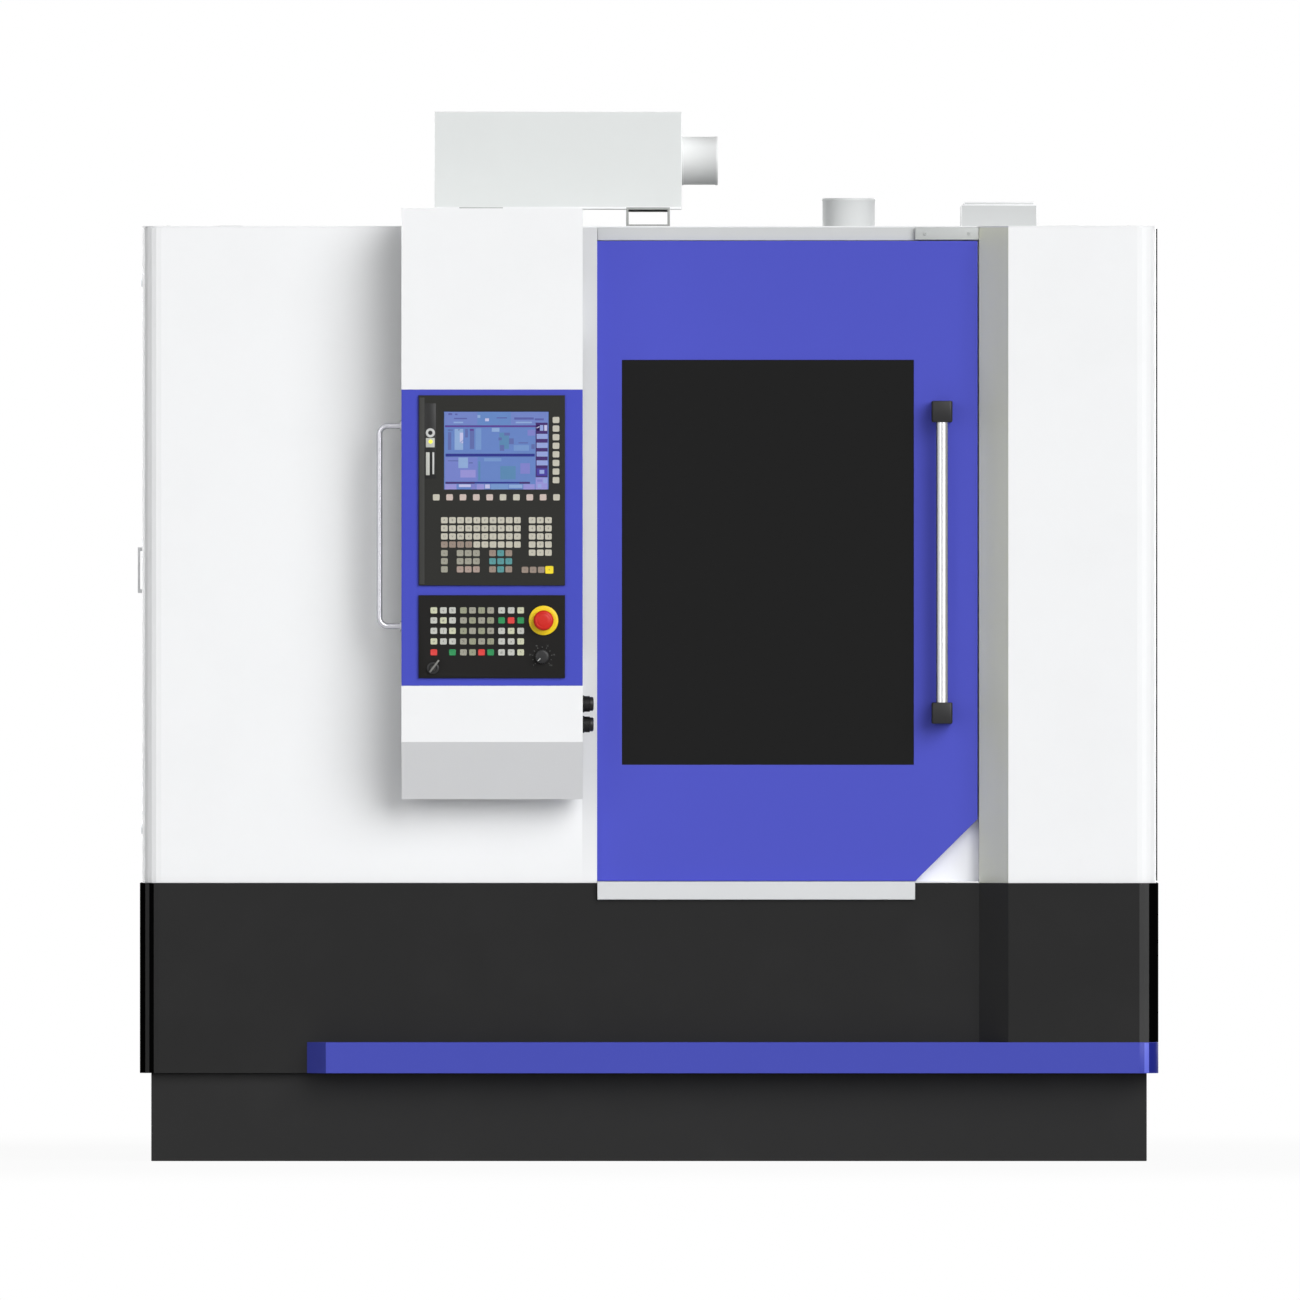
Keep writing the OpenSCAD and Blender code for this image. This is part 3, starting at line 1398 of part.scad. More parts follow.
module drive_units() {
  y = cabinet_y[0] + cabinet_sheet;
  board_in = 60;      // distance of the mounting board from the cabinet's walls
  board_t = 6;
  board_x = [cabinet_x[0] + board_in, cabinet_x[1] - board_in];
  units = 6;
  unit_in = 40;
  unit_gap = 20;
  unit_h = 380;
  unit_d = 200;
  unit_z = [cabinet_z[1] - 2 * board_in - unit_h, cabinet_z[1] - 2 * board_in];
  unit_pitch = (board_x[1] - board_x[0] - 2 * unit_in) / units;
  rows = 3;
  row_h = 110;
  row_d = 90;
  first = cabinet_z[0] + 3 * board_in;
  row_pitch = (unit_z[0] - 5 - first) / rows;
  color("#8a8f93") {
    block(board_x, [y, y + board_t], [cabinet_z[0] + board_in, cabinet_z[1] - board_in]);
    for (i = [0:units - 1])
      block([board_x[0] + unit_in + i * unit_pitch,
             board_x[0] + unit_in - unit_gap + (i + 1) * unit_pitch],
            [y + board_t - eps, y + unit_d], unit_z);
    for (i = [0:rows - 1])
      block([board_x[0] + unit_in, board_x[1] - unit_in], [y + board_t - eps, y + row_d],
            [first + i * row_pitch, first + i * row_pitch + row_h]);
  }
}

door_leaf_gap = 4;

module cabinet_leaf(x, axis_x, inner) {
  y = [cover_rear + seat, cover_rear + seat + cabinet_door_t];
  arm = axis_x < x[0] ? [axis_x, x[0] + eps] : [x[1] - eps, axis_x];
  color("#eef0f1") {
    difference() {
      block(x, y, cabinet_z);
      block([x[0] + 25, x[1] - 25], [y[0] - eps, y[1] - 3], [cabinet_z[0] + 25, cabinet_z[1] - 25]);
    }
    for (z = cabinet_hinge_z)
      hinge_knuckle([axis_x, door_axis_y], z, cabinet_pin_r, cabinet_lug_r, cabinet_lug_h,
                    arm, [door_axis_y - 5, door_axis_y + 5]);
    // latch handle
    block([inner - 12, inner + 12], [y[1] - eps, y[1] + 8],
          [(cabinet_z[0] + cabinet_z[1]) / 2 - 60, (cabinet_z[0] + cabinet_z[1]) / 2 + 60]);
  }
}

cabinet_mid = (cabinet_x[0] + cabinet_x[1]) / 2;

module cabinet_door_left() {
  cabinet_leaf([cabinet_x[0], cabinet_mid - door_leaf_gap / 2], cabinet_axes[0], cabinet_mid - 40);
}

module cabinet_door_right() {
  cabinet_leaf([cabinet_mid + door_leaf_gap / 2, cabinet_x[1]], cabinet_axes[1], cabinet_mid + 40);
}

// ---------- roof parts ----------

collector_x = [collector_left, collector_left + collector_w];
collector_y = [collector_front, collector_front + collector_d];
collector_wall = 2;
runner_in = [52, 25];   // distances of the tubes from the collector's sides
collector_z = [enclosure_top + runner_h, enclosure_top + runner_h + collector_h];
inlet_at = [(collector_y[0] + collector_y[1]) / 2, (collector_z[0] + collector_z[1]) / 2];

module mist_collector() {
  t = collector_wall;
  color("#e0e3e2") difference() {
    block(collector_x, collector_y, collector_z);
    block([collector_x[0] + t, collector_x[1] - t], [collector_y[0] + t, collector_y[1] - t],
          [collector_z[0] + t, collector_z[1] - t]);
    bar_x([collector_x[1] - t - eps, collector_x[1] + eps], inlet_d / 2 - duct_wall, inlet_at);
  }
}

module collector_runners() {
  left = [collector_x[0] + runner_in[0], collector_x[1] - runner_in[1] - runner_w];
  color("#d5d7d6") for (x = left) difference() {
    block([x, x + runner_w], collector_y, [enclosure_top, collector_z[0]]);
    block([x + runner_wall, x + runner_w - runner_wall], [collector_y[0] - eps, collector_y[1] + eps],
          [enclosure_top + runner_wall, collector_z[0] - runner_wall]);
  }
}

module duct_spigots() {
  color("#b9bcbe") {
    difference() {
      bar_x([collector_x[1], collector_x[1] + inlet_l], inlet_d / 2, inlet_at);
      bar_x([collector_x[1] - eps, collector_x[1] + inlet_l + eps], inlet_d / 2 - duct_wall,
            inlet_at);
    }
    translate([spigot_at[0], spigot_at[1], enclosure_top]) difference() {
      cylinder(r = spigot_r, h = spigot_h);
      translate([0, 0, -eps]) cylinder(r = spigot_r - duct_wall, h = spigot_h + 2 * eps);
    }
  }
}

module roof_duct() {
  x = [duct_left, duct_left + duct_w];
  y = [duct_front, duct_front + duct_l];
  edge = 6;
  color("#d2d5d4") {
    block(x, y, [enclosure_top, enclosure_top + duct_h - edge]);
    block([x[0] + edge, x[1] - edge], [y[0] + edge, y[1] - edge],
          [enclosure_top, enclosure_top + duct_h]);
  }
}

// ---------- chip conveyor ----------

conveyor_out = skirt_rear + 70;

module chip_conveyor() {
  t = 4;
  floor_y = [bed_y[1], conveyor_out];
  rise = 330;
  mouth = 120;
  color("#3a3d3f") difference() {
    union() {
      side_profile(conveyor_x) polygon([
        [floor_y[0], conveyor_z[0]], [floor_y[1], conveyor_z[0]],
        [floor_y[1] + rise, conveyor_top - 100], [floor_y[1] + rise, conveyor_top],
        [floor_y[1] + rise - mouth, conveyor_top], [floor_y[1] - 30, conveyor_z[1]],
        [floor_y[0], conveyor_z[1]]]);
      // leg that stands on the floor
      block([conveyor_x[0] + 20, conveyor_x[1] - 20], [floor_y[1] + 90, floor_y[1] + 150],
            [0, 480]);
      block([conveyor_x[0], conveyor_x[1]], [floor_y[1] + 60, floor_y[1] + 180], [0, 12]);
    }
    side_profile([conveyor_x[0] + t, conveyor_x[1] - t]) polygon([
      [floor_y[0] + t, conveyor_z[0] + t], [floor_y[1], conveyor_z[0] + t],
      [floor_y[1] + rise - t, conveyor_top - 98], [floor_y[1] + rise - t, conveyor_top - t],
      [floor_y[1] + rise - mouth, conveyor_top - t], [floor_y[1] - 28, conveyor_z[1] - t],
      [floor_y[0] + t, conveyor_z[1] - t]]);
    // inlet under the trays
    block([conveyor_x[0] + 20, conveyor_x[1] - 20], [floor_y[0] + 20, floor_y[0] + 250],
          [conveyor_z[1] - 2 * t, conveyor_z[1] + eps]);
    // discharge mouth
    block([conveyor_x[0] + 20, conveyor_x[1] - 20],
          [floor_y[1] + rise - 2 * t, floor_y[1] + rise + eps],
          [conveyor_top - 90, conveyor_top - 20]);
  }
}

plinth();
machine_bed();
splash_trays();
lower_skirt();
blue_rail();
left_cover();
right_cover();
rear_cover();
roof_panel();
door_lintel();
door_post();
door_sill();
door_top_rail();
table_housing();
tail_column();
feed_motor();
electric_cabinet();
drive_units();
mist_collector();
collector_runners();
duct_spigots();
roof_duct();
chip_conveyor();
pendant_bracket();
door_panel();
door_window();
window_frame();
door_handle_tube();
door_handle_ends();
door_carriages();
pendant_housing();
pendant_panel();
display_unit();
display_screen();
display_keys();
cursor_keys();
control_unit();
control_keys();
control_red_keys();
control_green_keys();
stop_collar();
service_plugs();
grab_handle();
stop_button();
override_knob();
key_switch();
column();
axial_motor();
axial_slide();
hob_head();
hob_slide();
hob_arbor();
hob_cutter();
work_table();
tail_arm();
live_centre();
axial_screw();
radial_screw();
cabinet_door_left();
cabinet_door_right();
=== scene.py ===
# Gear hobbing machine: paint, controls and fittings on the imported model.
# The frame is in metres; the sizes of the shapes are given in millimetres and made metres by spot and mm.
import json
import math

import bmesh
import bpy
from mathutils import Matrix, Vector


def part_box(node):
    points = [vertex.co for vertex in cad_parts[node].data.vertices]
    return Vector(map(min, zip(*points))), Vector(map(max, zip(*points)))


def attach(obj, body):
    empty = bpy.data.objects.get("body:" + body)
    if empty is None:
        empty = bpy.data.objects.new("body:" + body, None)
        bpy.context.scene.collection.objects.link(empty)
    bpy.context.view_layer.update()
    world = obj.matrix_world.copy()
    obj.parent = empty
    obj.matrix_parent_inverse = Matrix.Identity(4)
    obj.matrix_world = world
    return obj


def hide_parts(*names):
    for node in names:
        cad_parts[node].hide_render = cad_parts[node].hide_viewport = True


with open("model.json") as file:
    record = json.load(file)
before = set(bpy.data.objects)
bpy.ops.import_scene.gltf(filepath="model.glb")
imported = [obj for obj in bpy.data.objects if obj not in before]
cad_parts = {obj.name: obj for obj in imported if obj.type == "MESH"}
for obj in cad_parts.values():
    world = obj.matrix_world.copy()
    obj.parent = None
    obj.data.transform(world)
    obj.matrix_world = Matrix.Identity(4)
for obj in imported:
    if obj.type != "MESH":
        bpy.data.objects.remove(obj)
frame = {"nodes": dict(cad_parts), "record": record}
nodes = frame["nodes"]
bodyOf = {node: body for body, names in frame["record"]["behaviour"]["bodies"].items() for node in names}
scene = bpy.context.scene
mm = 0.001
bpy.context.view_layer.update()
print("frame loaded with", len(nodes), "nodes")


def screenColour(red, green, blue):
    # a colour as it shows on a screen, 0 to 255, made linear
    return tuple(((c / 255 + 0.055) / 1.055) ** 2.4 for c in (red, green, blue)) + (1.0,)


def toned(colour, factor):
    return tuple(min(1.0, c * factor) for c in colour[:3]) + (1.0,)


def addNode(tree, kind, inputs=None, **settings):
    # inputs are fixed values or sockets to link
    made = tree.nodes.new("ShaderNode" + kind)
    for key, value in settings.items():
        setattr(made, key, value)
    for key, value in (inputs or {}).items():
        if isinstance(value, bpy.types.NodeSocket):
            tree.links.new(value, made.inputs[key])
        else:
            made.inputs[key].default_value = value
    return made


def blendColour(tree, factor, first, second):
    return addNode(tree, "Mix", {"Factor": factor, 6: first, 7: second}, data_type="RGBA").outputs[2]


def spread(tree, value, fromLow, fromHigh, toLow=0.0, toHigh=1.0, **settings):
    return addNode(tree, "MapRange", {"Value": value, "From Min": fromLow, "From Max": fromHigh,
                                      "To Min": toLow, "To Max": toHigh}, **settings).outputs[0]


def objectPoints(tree, stretch=(1, 1, 1)):
    place = addNode(tree, "TexCoord")
    return addNode(tree, "Mapping", {"Vector": place.outputs["Object"], "Scale": stretch}).outputs[0]


def noise(tree, points, scale, detail=2.0):
    return addNode(tree, "TexNoise", {"Vector": points, "Scale": scale, "Detail": detail}).outputs[0]


def newTree(owner):
    owner.use_nodes = True
    owner.node_tree.nodes.clear()
    return owner.node_tree


def makeFinish(name, look):
    # one finish: broad tone changes, a fine grain in the bump, uneven gloss
    material = bpy.data.materials.new(name)
    tree = newTree(material)
    points = objectPoints(tree, look.get("stretch", (1, 1, 1)))
    plain = objectPoints(tree)
    vary = look.get("vary", 0.015)
    base = toned(screenColour(*look["colour"]), look.get("dim", 1.0))
    colour = blendColour(tree, noise(tree, points, look.get("mottle", 2.5), 3.0),
                         toned(base, 1 - vary), toned(base, 1 + vary))
    grain = noise(tree, points, look.get("grain", 600.0))
    if "fleck" in look:
        colour = blendColour(tree, spread(tree, grain, 0.55, 0.72), colour, toned(base, look["fleck"]))
    if "stain" in look:
        patches = spread(tree, noise(tree, plain, look.get("stainSize", 5.0), 6.0), 0.5, 0.75)
        colour = blendColour(tree, patches, colour, toned(base, look["stain"]))
    if "fade" in look:
        # another tone towards the lower of two heights, for painted shade
        low, high, factor = look["fade"]
        height = addNode(tree, "SeparateXYZ", {"Vector": plain})
        colour = blendColour(tree, spread(tree, height.outputs[2], low, high), toned(base, factor), colour)
    rough = spread(tree, noise(tree, plain, look.get("smears", 14.0), 4.0), 0.0, 1.0, *look["rough"])
    bump = addNode(tree, "Bump", {"Height": grain, "Strength": look.get("bump", 0.3),
                                  "Distance": look.get("relief", 0.05) * mm})
    body = addNode(tree, "BsdfPrincipled", {
        "Base Color": colour, "Roughness": rough, "Normal": bump.outputs[0],
        "Metallic": look.get("metal", 0.0), "Specular IOR Level": look.get("shine", 0.35),
        "Coat Weight": look.get("coat", 0.0), "Coat Roughness": look.get("coatRough", 0.1)})
    if "glow" in look:
        tree.links.new(colour, body.inputs["Emission Color"])
        body.inputs["Emission Strength"].default_value = look["glow"]
    addNode(tree, "OutputMaterial", {"Surface": body.outputs[0]})
    return material


# Finishes by the name of the record's slot, with colours from 0 to 255
keyLook = dict(rough=(0.42, 0.55), vary=0.02, grain=900, bump=0.3, relief=0.02)
finishLooks = {
    "white_paint": dict(colour=(246, 247, 248), rough=(0.42, 0.52), vary=0.006, grain=520, stain=0.985, coat=0.3,
                        coatRough=0.18),
    "blue_paint": dict(colour=(75, 81, 193), rough=(0.38, 0.48), vary=0.02, grain=520, shine=0.22),
    "dark_paint": dict(colour=(36, 36, 36), rough=(0.5, 0.62), vary=0.03, grain=420, shine=0.1, bump=0.45,
                       stain=1.12),
    "grey_paint": dict(colour=(224, 227, 226), rough=(0.44, 0.54), vary=0.008, grain=520, stain=0.98),
    "bare_casting": dict(colour=(112, 113, 116), rough=(0.5, 0.68), vary=0.08, grain=380, metal=0.6, bump=0.6,
                         relief=0.15, fleck=0.7),
    "painted_casting": dict(colour=(196, 203, 200), rough=(0.36, 0.5), vary=0.02, grain=90, bump=0.25, relief=0.3,
                            stain=0.94),
    "ground_steel": dict(colour=(182, 184, 188), rough=(0.2, 0.34), vary=0.06, metal=1.0, stretch=(60, 2, 60),
                         grain=30, bump=0.12, relief=0.02),
    "tool_coating": dict(colour=(196, 158, 82), rough=(0.22, 0.34), vary=0.08, metal=1.0, grain=300, bump=0.1,
                         relief=0.02),
    "chrome": dict(colour=(198, 198, 200), rough=(0.2, 0.28), vary=0.02, metal=1.0, grain=200, bump=0.04,
                   relief=0.01),
    "zinc_sheet": dict(colour=(176, 182, 188), rough=(0.3, 0.46), vary=0.05, metal=0.85, grain=40, bump=0.08,
                       relief=0.02, fleck=1.15, stain=0.9, stainSize=30.0),
    "window_pane": dict(colour=(16, 16, 16), rough=(0.08, 0.13), vary=0.03, grain=60, bump=0.02, relief=0.02,
                        shine=0.16),
    "screen_glass": dict(colour=(96, 116, 186), rough=(0.12, 0.2), vary=0.02, grain=300, bump=0.02, relief=0.01),
    "black_rubber": dict(colour=(26, 26, 27), rough=(0.6, 0.75), vary=0.06, grain=500, bump=0.5, relief=0.08,
                         shine=0.25),
    "black_plastic": dict(colour=(30, 30, 31), rough=(0.32, 0.46), vary=0.05, grain=900, bump=0.4, relief=0.03,
                          shine=0.3),
    "bezel_paint": dict(colour=(30, 30, 27), rough=(0.45, 0.56), vary=0.04, grain=800, bump=0.4, relief=0.03,
                        shine=0.2),
    "key_beige": dict(keyLook, colour=(198, 194, 179)),
    "key_white": dict(keyLook, colour=(196, 197, 190)),
    "key_teal": dict(keyLook, colour=(84, 148, 150), vary=0.03),
    "key_red": dict(keyLook, colour=(222, 62, 58), rough=(0.38, 0.5), vary=0.03),
    "key_green": dict(keyLook, colour=(34, 140, 80), rough=(0.38, 0.5), vary=0.03),
    "stop_red": dict(colour=(208, 30, 16), rough=(0.4, 0.5), vary=0.03, grain=700, bump=0.15, relief=0.02),
    "stop_yellow": dict(colour=(250, 216, 20), rough=(0.34, 0.46), vary=0.02, grain=700, bump=0.2, relief=0.02),
}

# Second tones of a finish for single parts, and what else differs in some of them
extraLooks = {
    # the rail's darker and lighter corner tones are painted shade and a painted highlight
    "blue_paint": dict(railBlue=(67, 75, 178), railCornerShade=(32, 39, 128), railCornerHighlight=(100, 110, 220),
                       panelBlue=(69, 77, 192)),
    "key_beige": dict(keyBrown=(150, 134, 122), keyPink=(206, 188, 180), keyGrey=(158, 156, 142),
                      keyOlive=(150, 152, 128), keyMauve=(170, 150, 140), keyCream=(204, 206, 178),
                      keyYellow=(250, 224, 40), keyInk=(84, 84, 82), dialInk=(96, 98, 96), brightInk=(205, 206, 204),
                      ledYellow=(236, 232, 80)),
    "key_white": dict(lampLens=(250, 250, 244)),
    "black_plastic": dict(darkHole=(12, 12, 12), plugBlack=(12, 12, 12), keyHandle=(128, 128, 124)),
    "bezel_paint": dict(unitBlack=(24, 23, 22)),
    # the black tone is painted shade on the skirt's bent corners
    "black_rubber": dict(seamShade=(58, 58, 56), cornerShade=(4, 4, 4)),
    # the two lighter tones on the skirt's bent corners are painted highlights
    "dark_paint": dict(cornerHighlightLine=(40, 40, 40), cornerHighlight=(60, 60, 60), plinthGrey=(41, 41, 41),
                       # this tone is painted light on the skirt's slanted face
                       skirtFacetPaintedLight=(44, 44, 44)),
    # three tones of painted shade: on the slanted face beside the door, on the cover's strip beside the pendant and
    # on the pendant's foot
    "white_paint": dict(facetShade=(241, 243, 226), stripShade=(219, 220, 221), footShade=(230, 231, 232)),
    # the grab handle's darker chrome is painted shade for the dark reflection on its rod
    "chrome": dict(rodChromeShade=(184, 184, 190)),
    "grey_paint": dict(trimGrey=(206, 208, 208), sillGrey=(219, 221, 222), ductGrey=(204, 206, 206),
                       # the sideways spigot's tone is painted shade towards its underside and a painted highlight on
                       # its top
                       spigotGrey=(214, 216, 216), spigotShade=(246, 247, 247), plateGrey=(194, 197, 196),
                       # the dark strip tone is painted shade for the dark line along the right edge
                       edgeLineShade=(44, 46, 46), driveGrey=(150, 155, 158), runnerGrey=(158, 160, 158))}
extraSettings = dict(
    # low shine keeps the rail's painted corner shade dark
    railCornerShade=dict(shine=0.04), ledYellow=dict(glow=0.4), lampLens=dict(glow=6.0), unitBlack=dict(shine=0.12),
    # no shine keeps the skirt's painted corner shade black
    # the strip's fade makes its painted shade lighter towards its foot
    cornerShade=dict(shine=0.0, rough=(0.85, 0.95)), stripShade=dict(fade=(0.6, 0.82, 1.28)),
    # the spigot's fade is painted shade, darker towards its underside
    spigotShade=dict(fade=(2.037, 2.134, 0.35)), edgeLineShade=dict(shine=0.06), driveGrey=dict(mottle=9.0, vary=0.03))

# Tones of the screen's picture, which glow a little
screenTones = dict(
    base=(108, 140, 208), header=(118, 138, 208), headerBlue=(104, 142, 206), streak=(92, 98, 172),
    paleViolet=(122, 136, 212), violetLine=(92, 62, 150), deepLine=(38, 46, 142), blue=(106, 138, 206),
    pale=(150, 180, 226), text=(98, 112, 178), teal=(92, 142, 186), pink=(134, 136, 212), paleBlue=(122, 158, 214),
    box=(156, 172, 230), indigo=(72, 62, 166), gap=(66, 36, 112), lilac=(158, 154, 224), white=(206, 206, 244))

finishes = {slot: makeFinish(slot + "Finish", look) for slot, look in finishLooks.items()}
for base, tones in extraLooks.items():
    for extra, colour in tones.items():
        finishes[extra] = makeFinish(extra + "Finish", {**finishLooks[base], "colour": colour,
                                                        **extraSettings.get(extra, {})})
for tone, colour in screenTones.items():
    finishes["screen_" + tone] = makeFinish("screen_" + tone + "Finish", dict(
        finishLooks["screen_glass"], colour=colour, dim=0.62, vary=0.03, mottle=60, glow=0.42))

nodeFinish = {"blue_rail": "railBlue", "pendant_panel": "panelBlue", "control_unit": "unitBlack",
              "door_lintel": "trimGrey", "door_sill": "sillGrey", "roof_duct": "ductGrey",
              "collector_runners": "runnerGrey", "duct_spigots": "spigotGrey", "plinth": "plinthGrey",
              # the grab handle takes the darker chrome, painted shade for its rod's reflection
              "grab_handle": "rodChromeShade", "drive_units": "driveGrey"}
nodeSlots = {}
for nodeName, nodeObject in nodes.items():
    nodeSlots[nodeName] = nodeObject.material_slots[0].material.name
    for place in nodeObject.material_slots:
        place.material = finishes[nodeFinish.get(nodeName, place.material.name)]
print("finishes set on the frame")


def spot(x, y, z):
    # a place given in millimetres
    return Vector((x, y, z)) * mm


def inMm(box):
    # corners in metres as millimetres
    return [corner / mm for corner in box]


def addPart(target, part, index=0):
    # part's mesh goes into target with one material
    for face in part.faces:
        face.material_index = index
    spare = bpy.data.meshes.new("spare")
    part.to_mesh(spare)
    part.free()
    target.from_mesh(spare)
    bpy.data.meshes.remove(spare)


def addPlaced(target, part, place, index=0):
    bmesh.ops.transform(part, matrix=place, verts=part.verts[:])
    addPart(target, part, index)


def makePiece(name, bm, look, body, stands=(), sharp=34, plain=0.0):
    # a finished mesh becomes a piece that rides on a body; faces larger than plain keep a crisp edge
    looks = [look] if isinstance(look, str) else list(look)
    for face in bm.faces:
        face.smooth = True
    for edge in bm.edges:
        angle = edge.calc_face_angle(0) if len(edge.link_faces) == 2 else 0
        large = plain and max((face.calc_area() for face in edge.link_faces), default=0) > plain
        edge.smooth = angle < math.radians(0.5 if large else sharp)
    mesh = bpy.data.meshes.new(name)
    bm.to_mesh(mesh)
    bm.free()
    for one in looks:
        mesh.materials.append(finishes[one])
    piece = bpy.data.objects.new(name, mesh)
    scene.collection.objects.link(piece)
    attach(piece, body)
    if stands:
        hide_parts(*stands)


def roundEdges(bm, edges, width, segments=2, clamp=False):
    bmesh.ops.bevel(bm, geom=edges, offset=width * mm, affect="EDGES", segments=segments, profile=0.5,
                    clamp_overlap=clamp, material=-1)


def boxBetween(low, high, bevel=0.0, segments=2):
    # a box between two corners in metres
    low, high = Vector(low), Vector(high)
    size = high - low
    bm = bmesh.new()
    bmesh.ops.create_cube(bm, size=1.0,
                          matrix=Matrix.Translation((low + high) / 2) @ Matrix.Diagonal((*size, 1.0)))
    if bevel:
        roundEdges(bm, bm.edges[:], min(bevel, 0.45 * min(size) / mm), segments)
    return bm


def boxShape(low, high, bevel=0.0, segments=2):
    return boxBetween(spot(*low), spot(*high), bevel, segments)


def addBox(target, low, high, index=0, bevel=0.0, segments=2):
    addPart(target, boxShape(low, high, bevel, segments), index)


def turnedShape(profile, at=(0, 0, 0), along=(0, 0, 1), steps=40):
    # profile of (radius, height) pairs turned round a line that starts at a point
    bm = bmesh.new()
    line = [bm.verts.new((radius * mm, 0.0, height * mm)) for radius, height in profile]
    edges = [bm.edges.new(pair) for pair in zip(line, line[1:])]
    bmesh.ops.spin(bm, geom=line + edges, cent=(0, 0, 0), axis=(0, 0, 1), dvec=(0, 0, 0), angle=math.tau,
                   steps=steps, use_merge=True, use_duplicate=False)
    bmesh.ops.remove_doubles(bm, verts=bm.verts[:], dist=1e-6)
    bmesh.ops.recalc_face_normals(bm, faces=bm.faces[:])
    turn = Vector((0, 0, 1)).rotation_difference(Vector(along)).to_matrix().to_4x4()
    bmesh.ops.transform(bm, matrix=Matrix.Translation(spot(*at)) @ turn, verts=bm.verts[:])
    return bm


def addTurned(target, profile, at, along, steps, index=0):
    addPart(target, turnedShape(profile, at, along, steps), index)


def upright(x, y, z):
    # place of a flat shape that stands up and looks towards -Y
    return Matrix.Translation(spot(x, y, z)) @ Matrix.Rotation(math.radians(90), 4, "X")


def leaning(at, degrees):
    # place turned clockwise as seen from the front
    return Matrix.Translation(spot(*at)) @ Matrix.Rotation(math.radians(degrees), 4, "Y")


def against(at, axis, side):
    # place that lays a part made on the XY plane, facing +Z, against a side
    towards = Vector((0, 0, 0))
    towards[axis] = side
    turn = Vector((0, 0, 1)).rotation_difference(towards).to_matrix().to_4x4()
    if axis == 0:
        turn = turn @ Matrix.Rotation(math.radians(90), 4, "Z")
    return Matrix.Translation(spot(*at)) @ turn


def textShape(words, size, at):
    # raised figure whose face looks towards -Y, centred on a point
    curve = bpy.data.curves.new("figure", "FONT")
    curve.body = words
    curve.size = size * mm
    curve.extrude = 0.05 * mm
    curve.resolution_u = 2
    curve.align_x = "CENTER"
    curve.align_y = "CENTER"
    holder = bpy.data.objects.new("figure", curve)
    mesh = bpy.data.meshes.new_from_object(holder)
    bm = bmesh.new()
    bm.from_mesh(mesh)
    bmesh.ops.transform(bm, matrix=upright(*at), verts=bm.verts[:])
    bpy.data.objects.remove(holder)
    bpy.data.curves.remove(curve)
    bpy.data.meshes.remove(mesh)
    return bm


def outerBand(bm, width):
    # a flat shape loses all but a band along its edge
    bmesh.ops.inset_region(bm, faces=bm.faces[:], thickness=width * mm, depth=0)
    bmesh.ops.delete(bm, geom=[max(bm.faces, key=lambda f: f.calc_area())], context="FACES")


def flutedGrip(ribs, backRadius, frontRadius, depth, place, rim, groove):
    # a turned grip with every second flat pressed in
    bm = bmesh.new()
    bmesh.ops.create_cone(bm, segments=2 * ribs, cap_ends=True, radius1=backRadius * mm, radius2=frontRadius * mm,
                          depth=depth * mm, matrix=place)
    flats = [f for f in bm.faces if len(f.verts) == 4][::2]
    bmesh.ops.inset_individual(bm, faces=flats, thickness=rim * mm, depth=-groove * mm)
    return bm


def mergedCopy(nodeName):
    bm = bmesh.new()
    bm.from_mesh(nodes[nodeName].data)
    bmesh.ops.remove_doubles(bm, verts=bm.verts[:], dist=1e-6)
    return bm


def solidsOf(nodeName):
    # boxes of a node's separate solids, in millimetres
    bm = mergedCopy(nodeName)
    boxes, left = [], set(bm.verts)
    while left:
        island, edge = set(), [left.pop()]
        while edge:
            vert = edge.pop()
            island.add(vert)
            edge += [other for link in vert.link_edges if (other := link.other_vert(vert)) in left]
            left -= set(edge)
        boxes.append(inMm(Vector(pick(v.co[i] for v in island) for i in range(3)) for pick in (min, max)))
    bm.free()
    return boxes


def softened(nodeName, width, looks, rework):
    # copy of a node's mesh with its edges rounded, in the node's place; rework may cut seams in it
    bm = mergedCopy(nodeName)
    bmesh.ops.dissolve_limit(bm, angle_limit=math.radians(0.5), verts=bm.verts[:], edges=bm.edges[:])
    roundEdges(bm, [e for e in bm.edges if len(e.link_faces) == 2 and e.calc_face_angle(0) > math.radians(25)],
               width, clamp=True)
    for face in bm.faces:
        face.material_index = 0
    rework(bm)
    slotName = nodeSlots[nodeName]
    makePiece(nodeName + "_skin", bm, looks or nodeFinish.get(nodeName, slotName), bodyOf[nodeName], [nodeName],
              sharp=28, plain=0.002)


def cutFaces(bm, faces, point, towards):
    # a straight cut through some faces
    edges, verts = ({part for f in faces for part in getattr(f, kind)} for kind in ("edges", "verts"))
    bmesh.ops.bisect_plane(bm, geom=faces + list(edges) + list(verts), plane_co=point, plane_no=towards)


# Seam of a hatch: width and depth of the gap, width of the slope back up
seam = dict(gap=2.2, depth=1.0, slope=0.8)


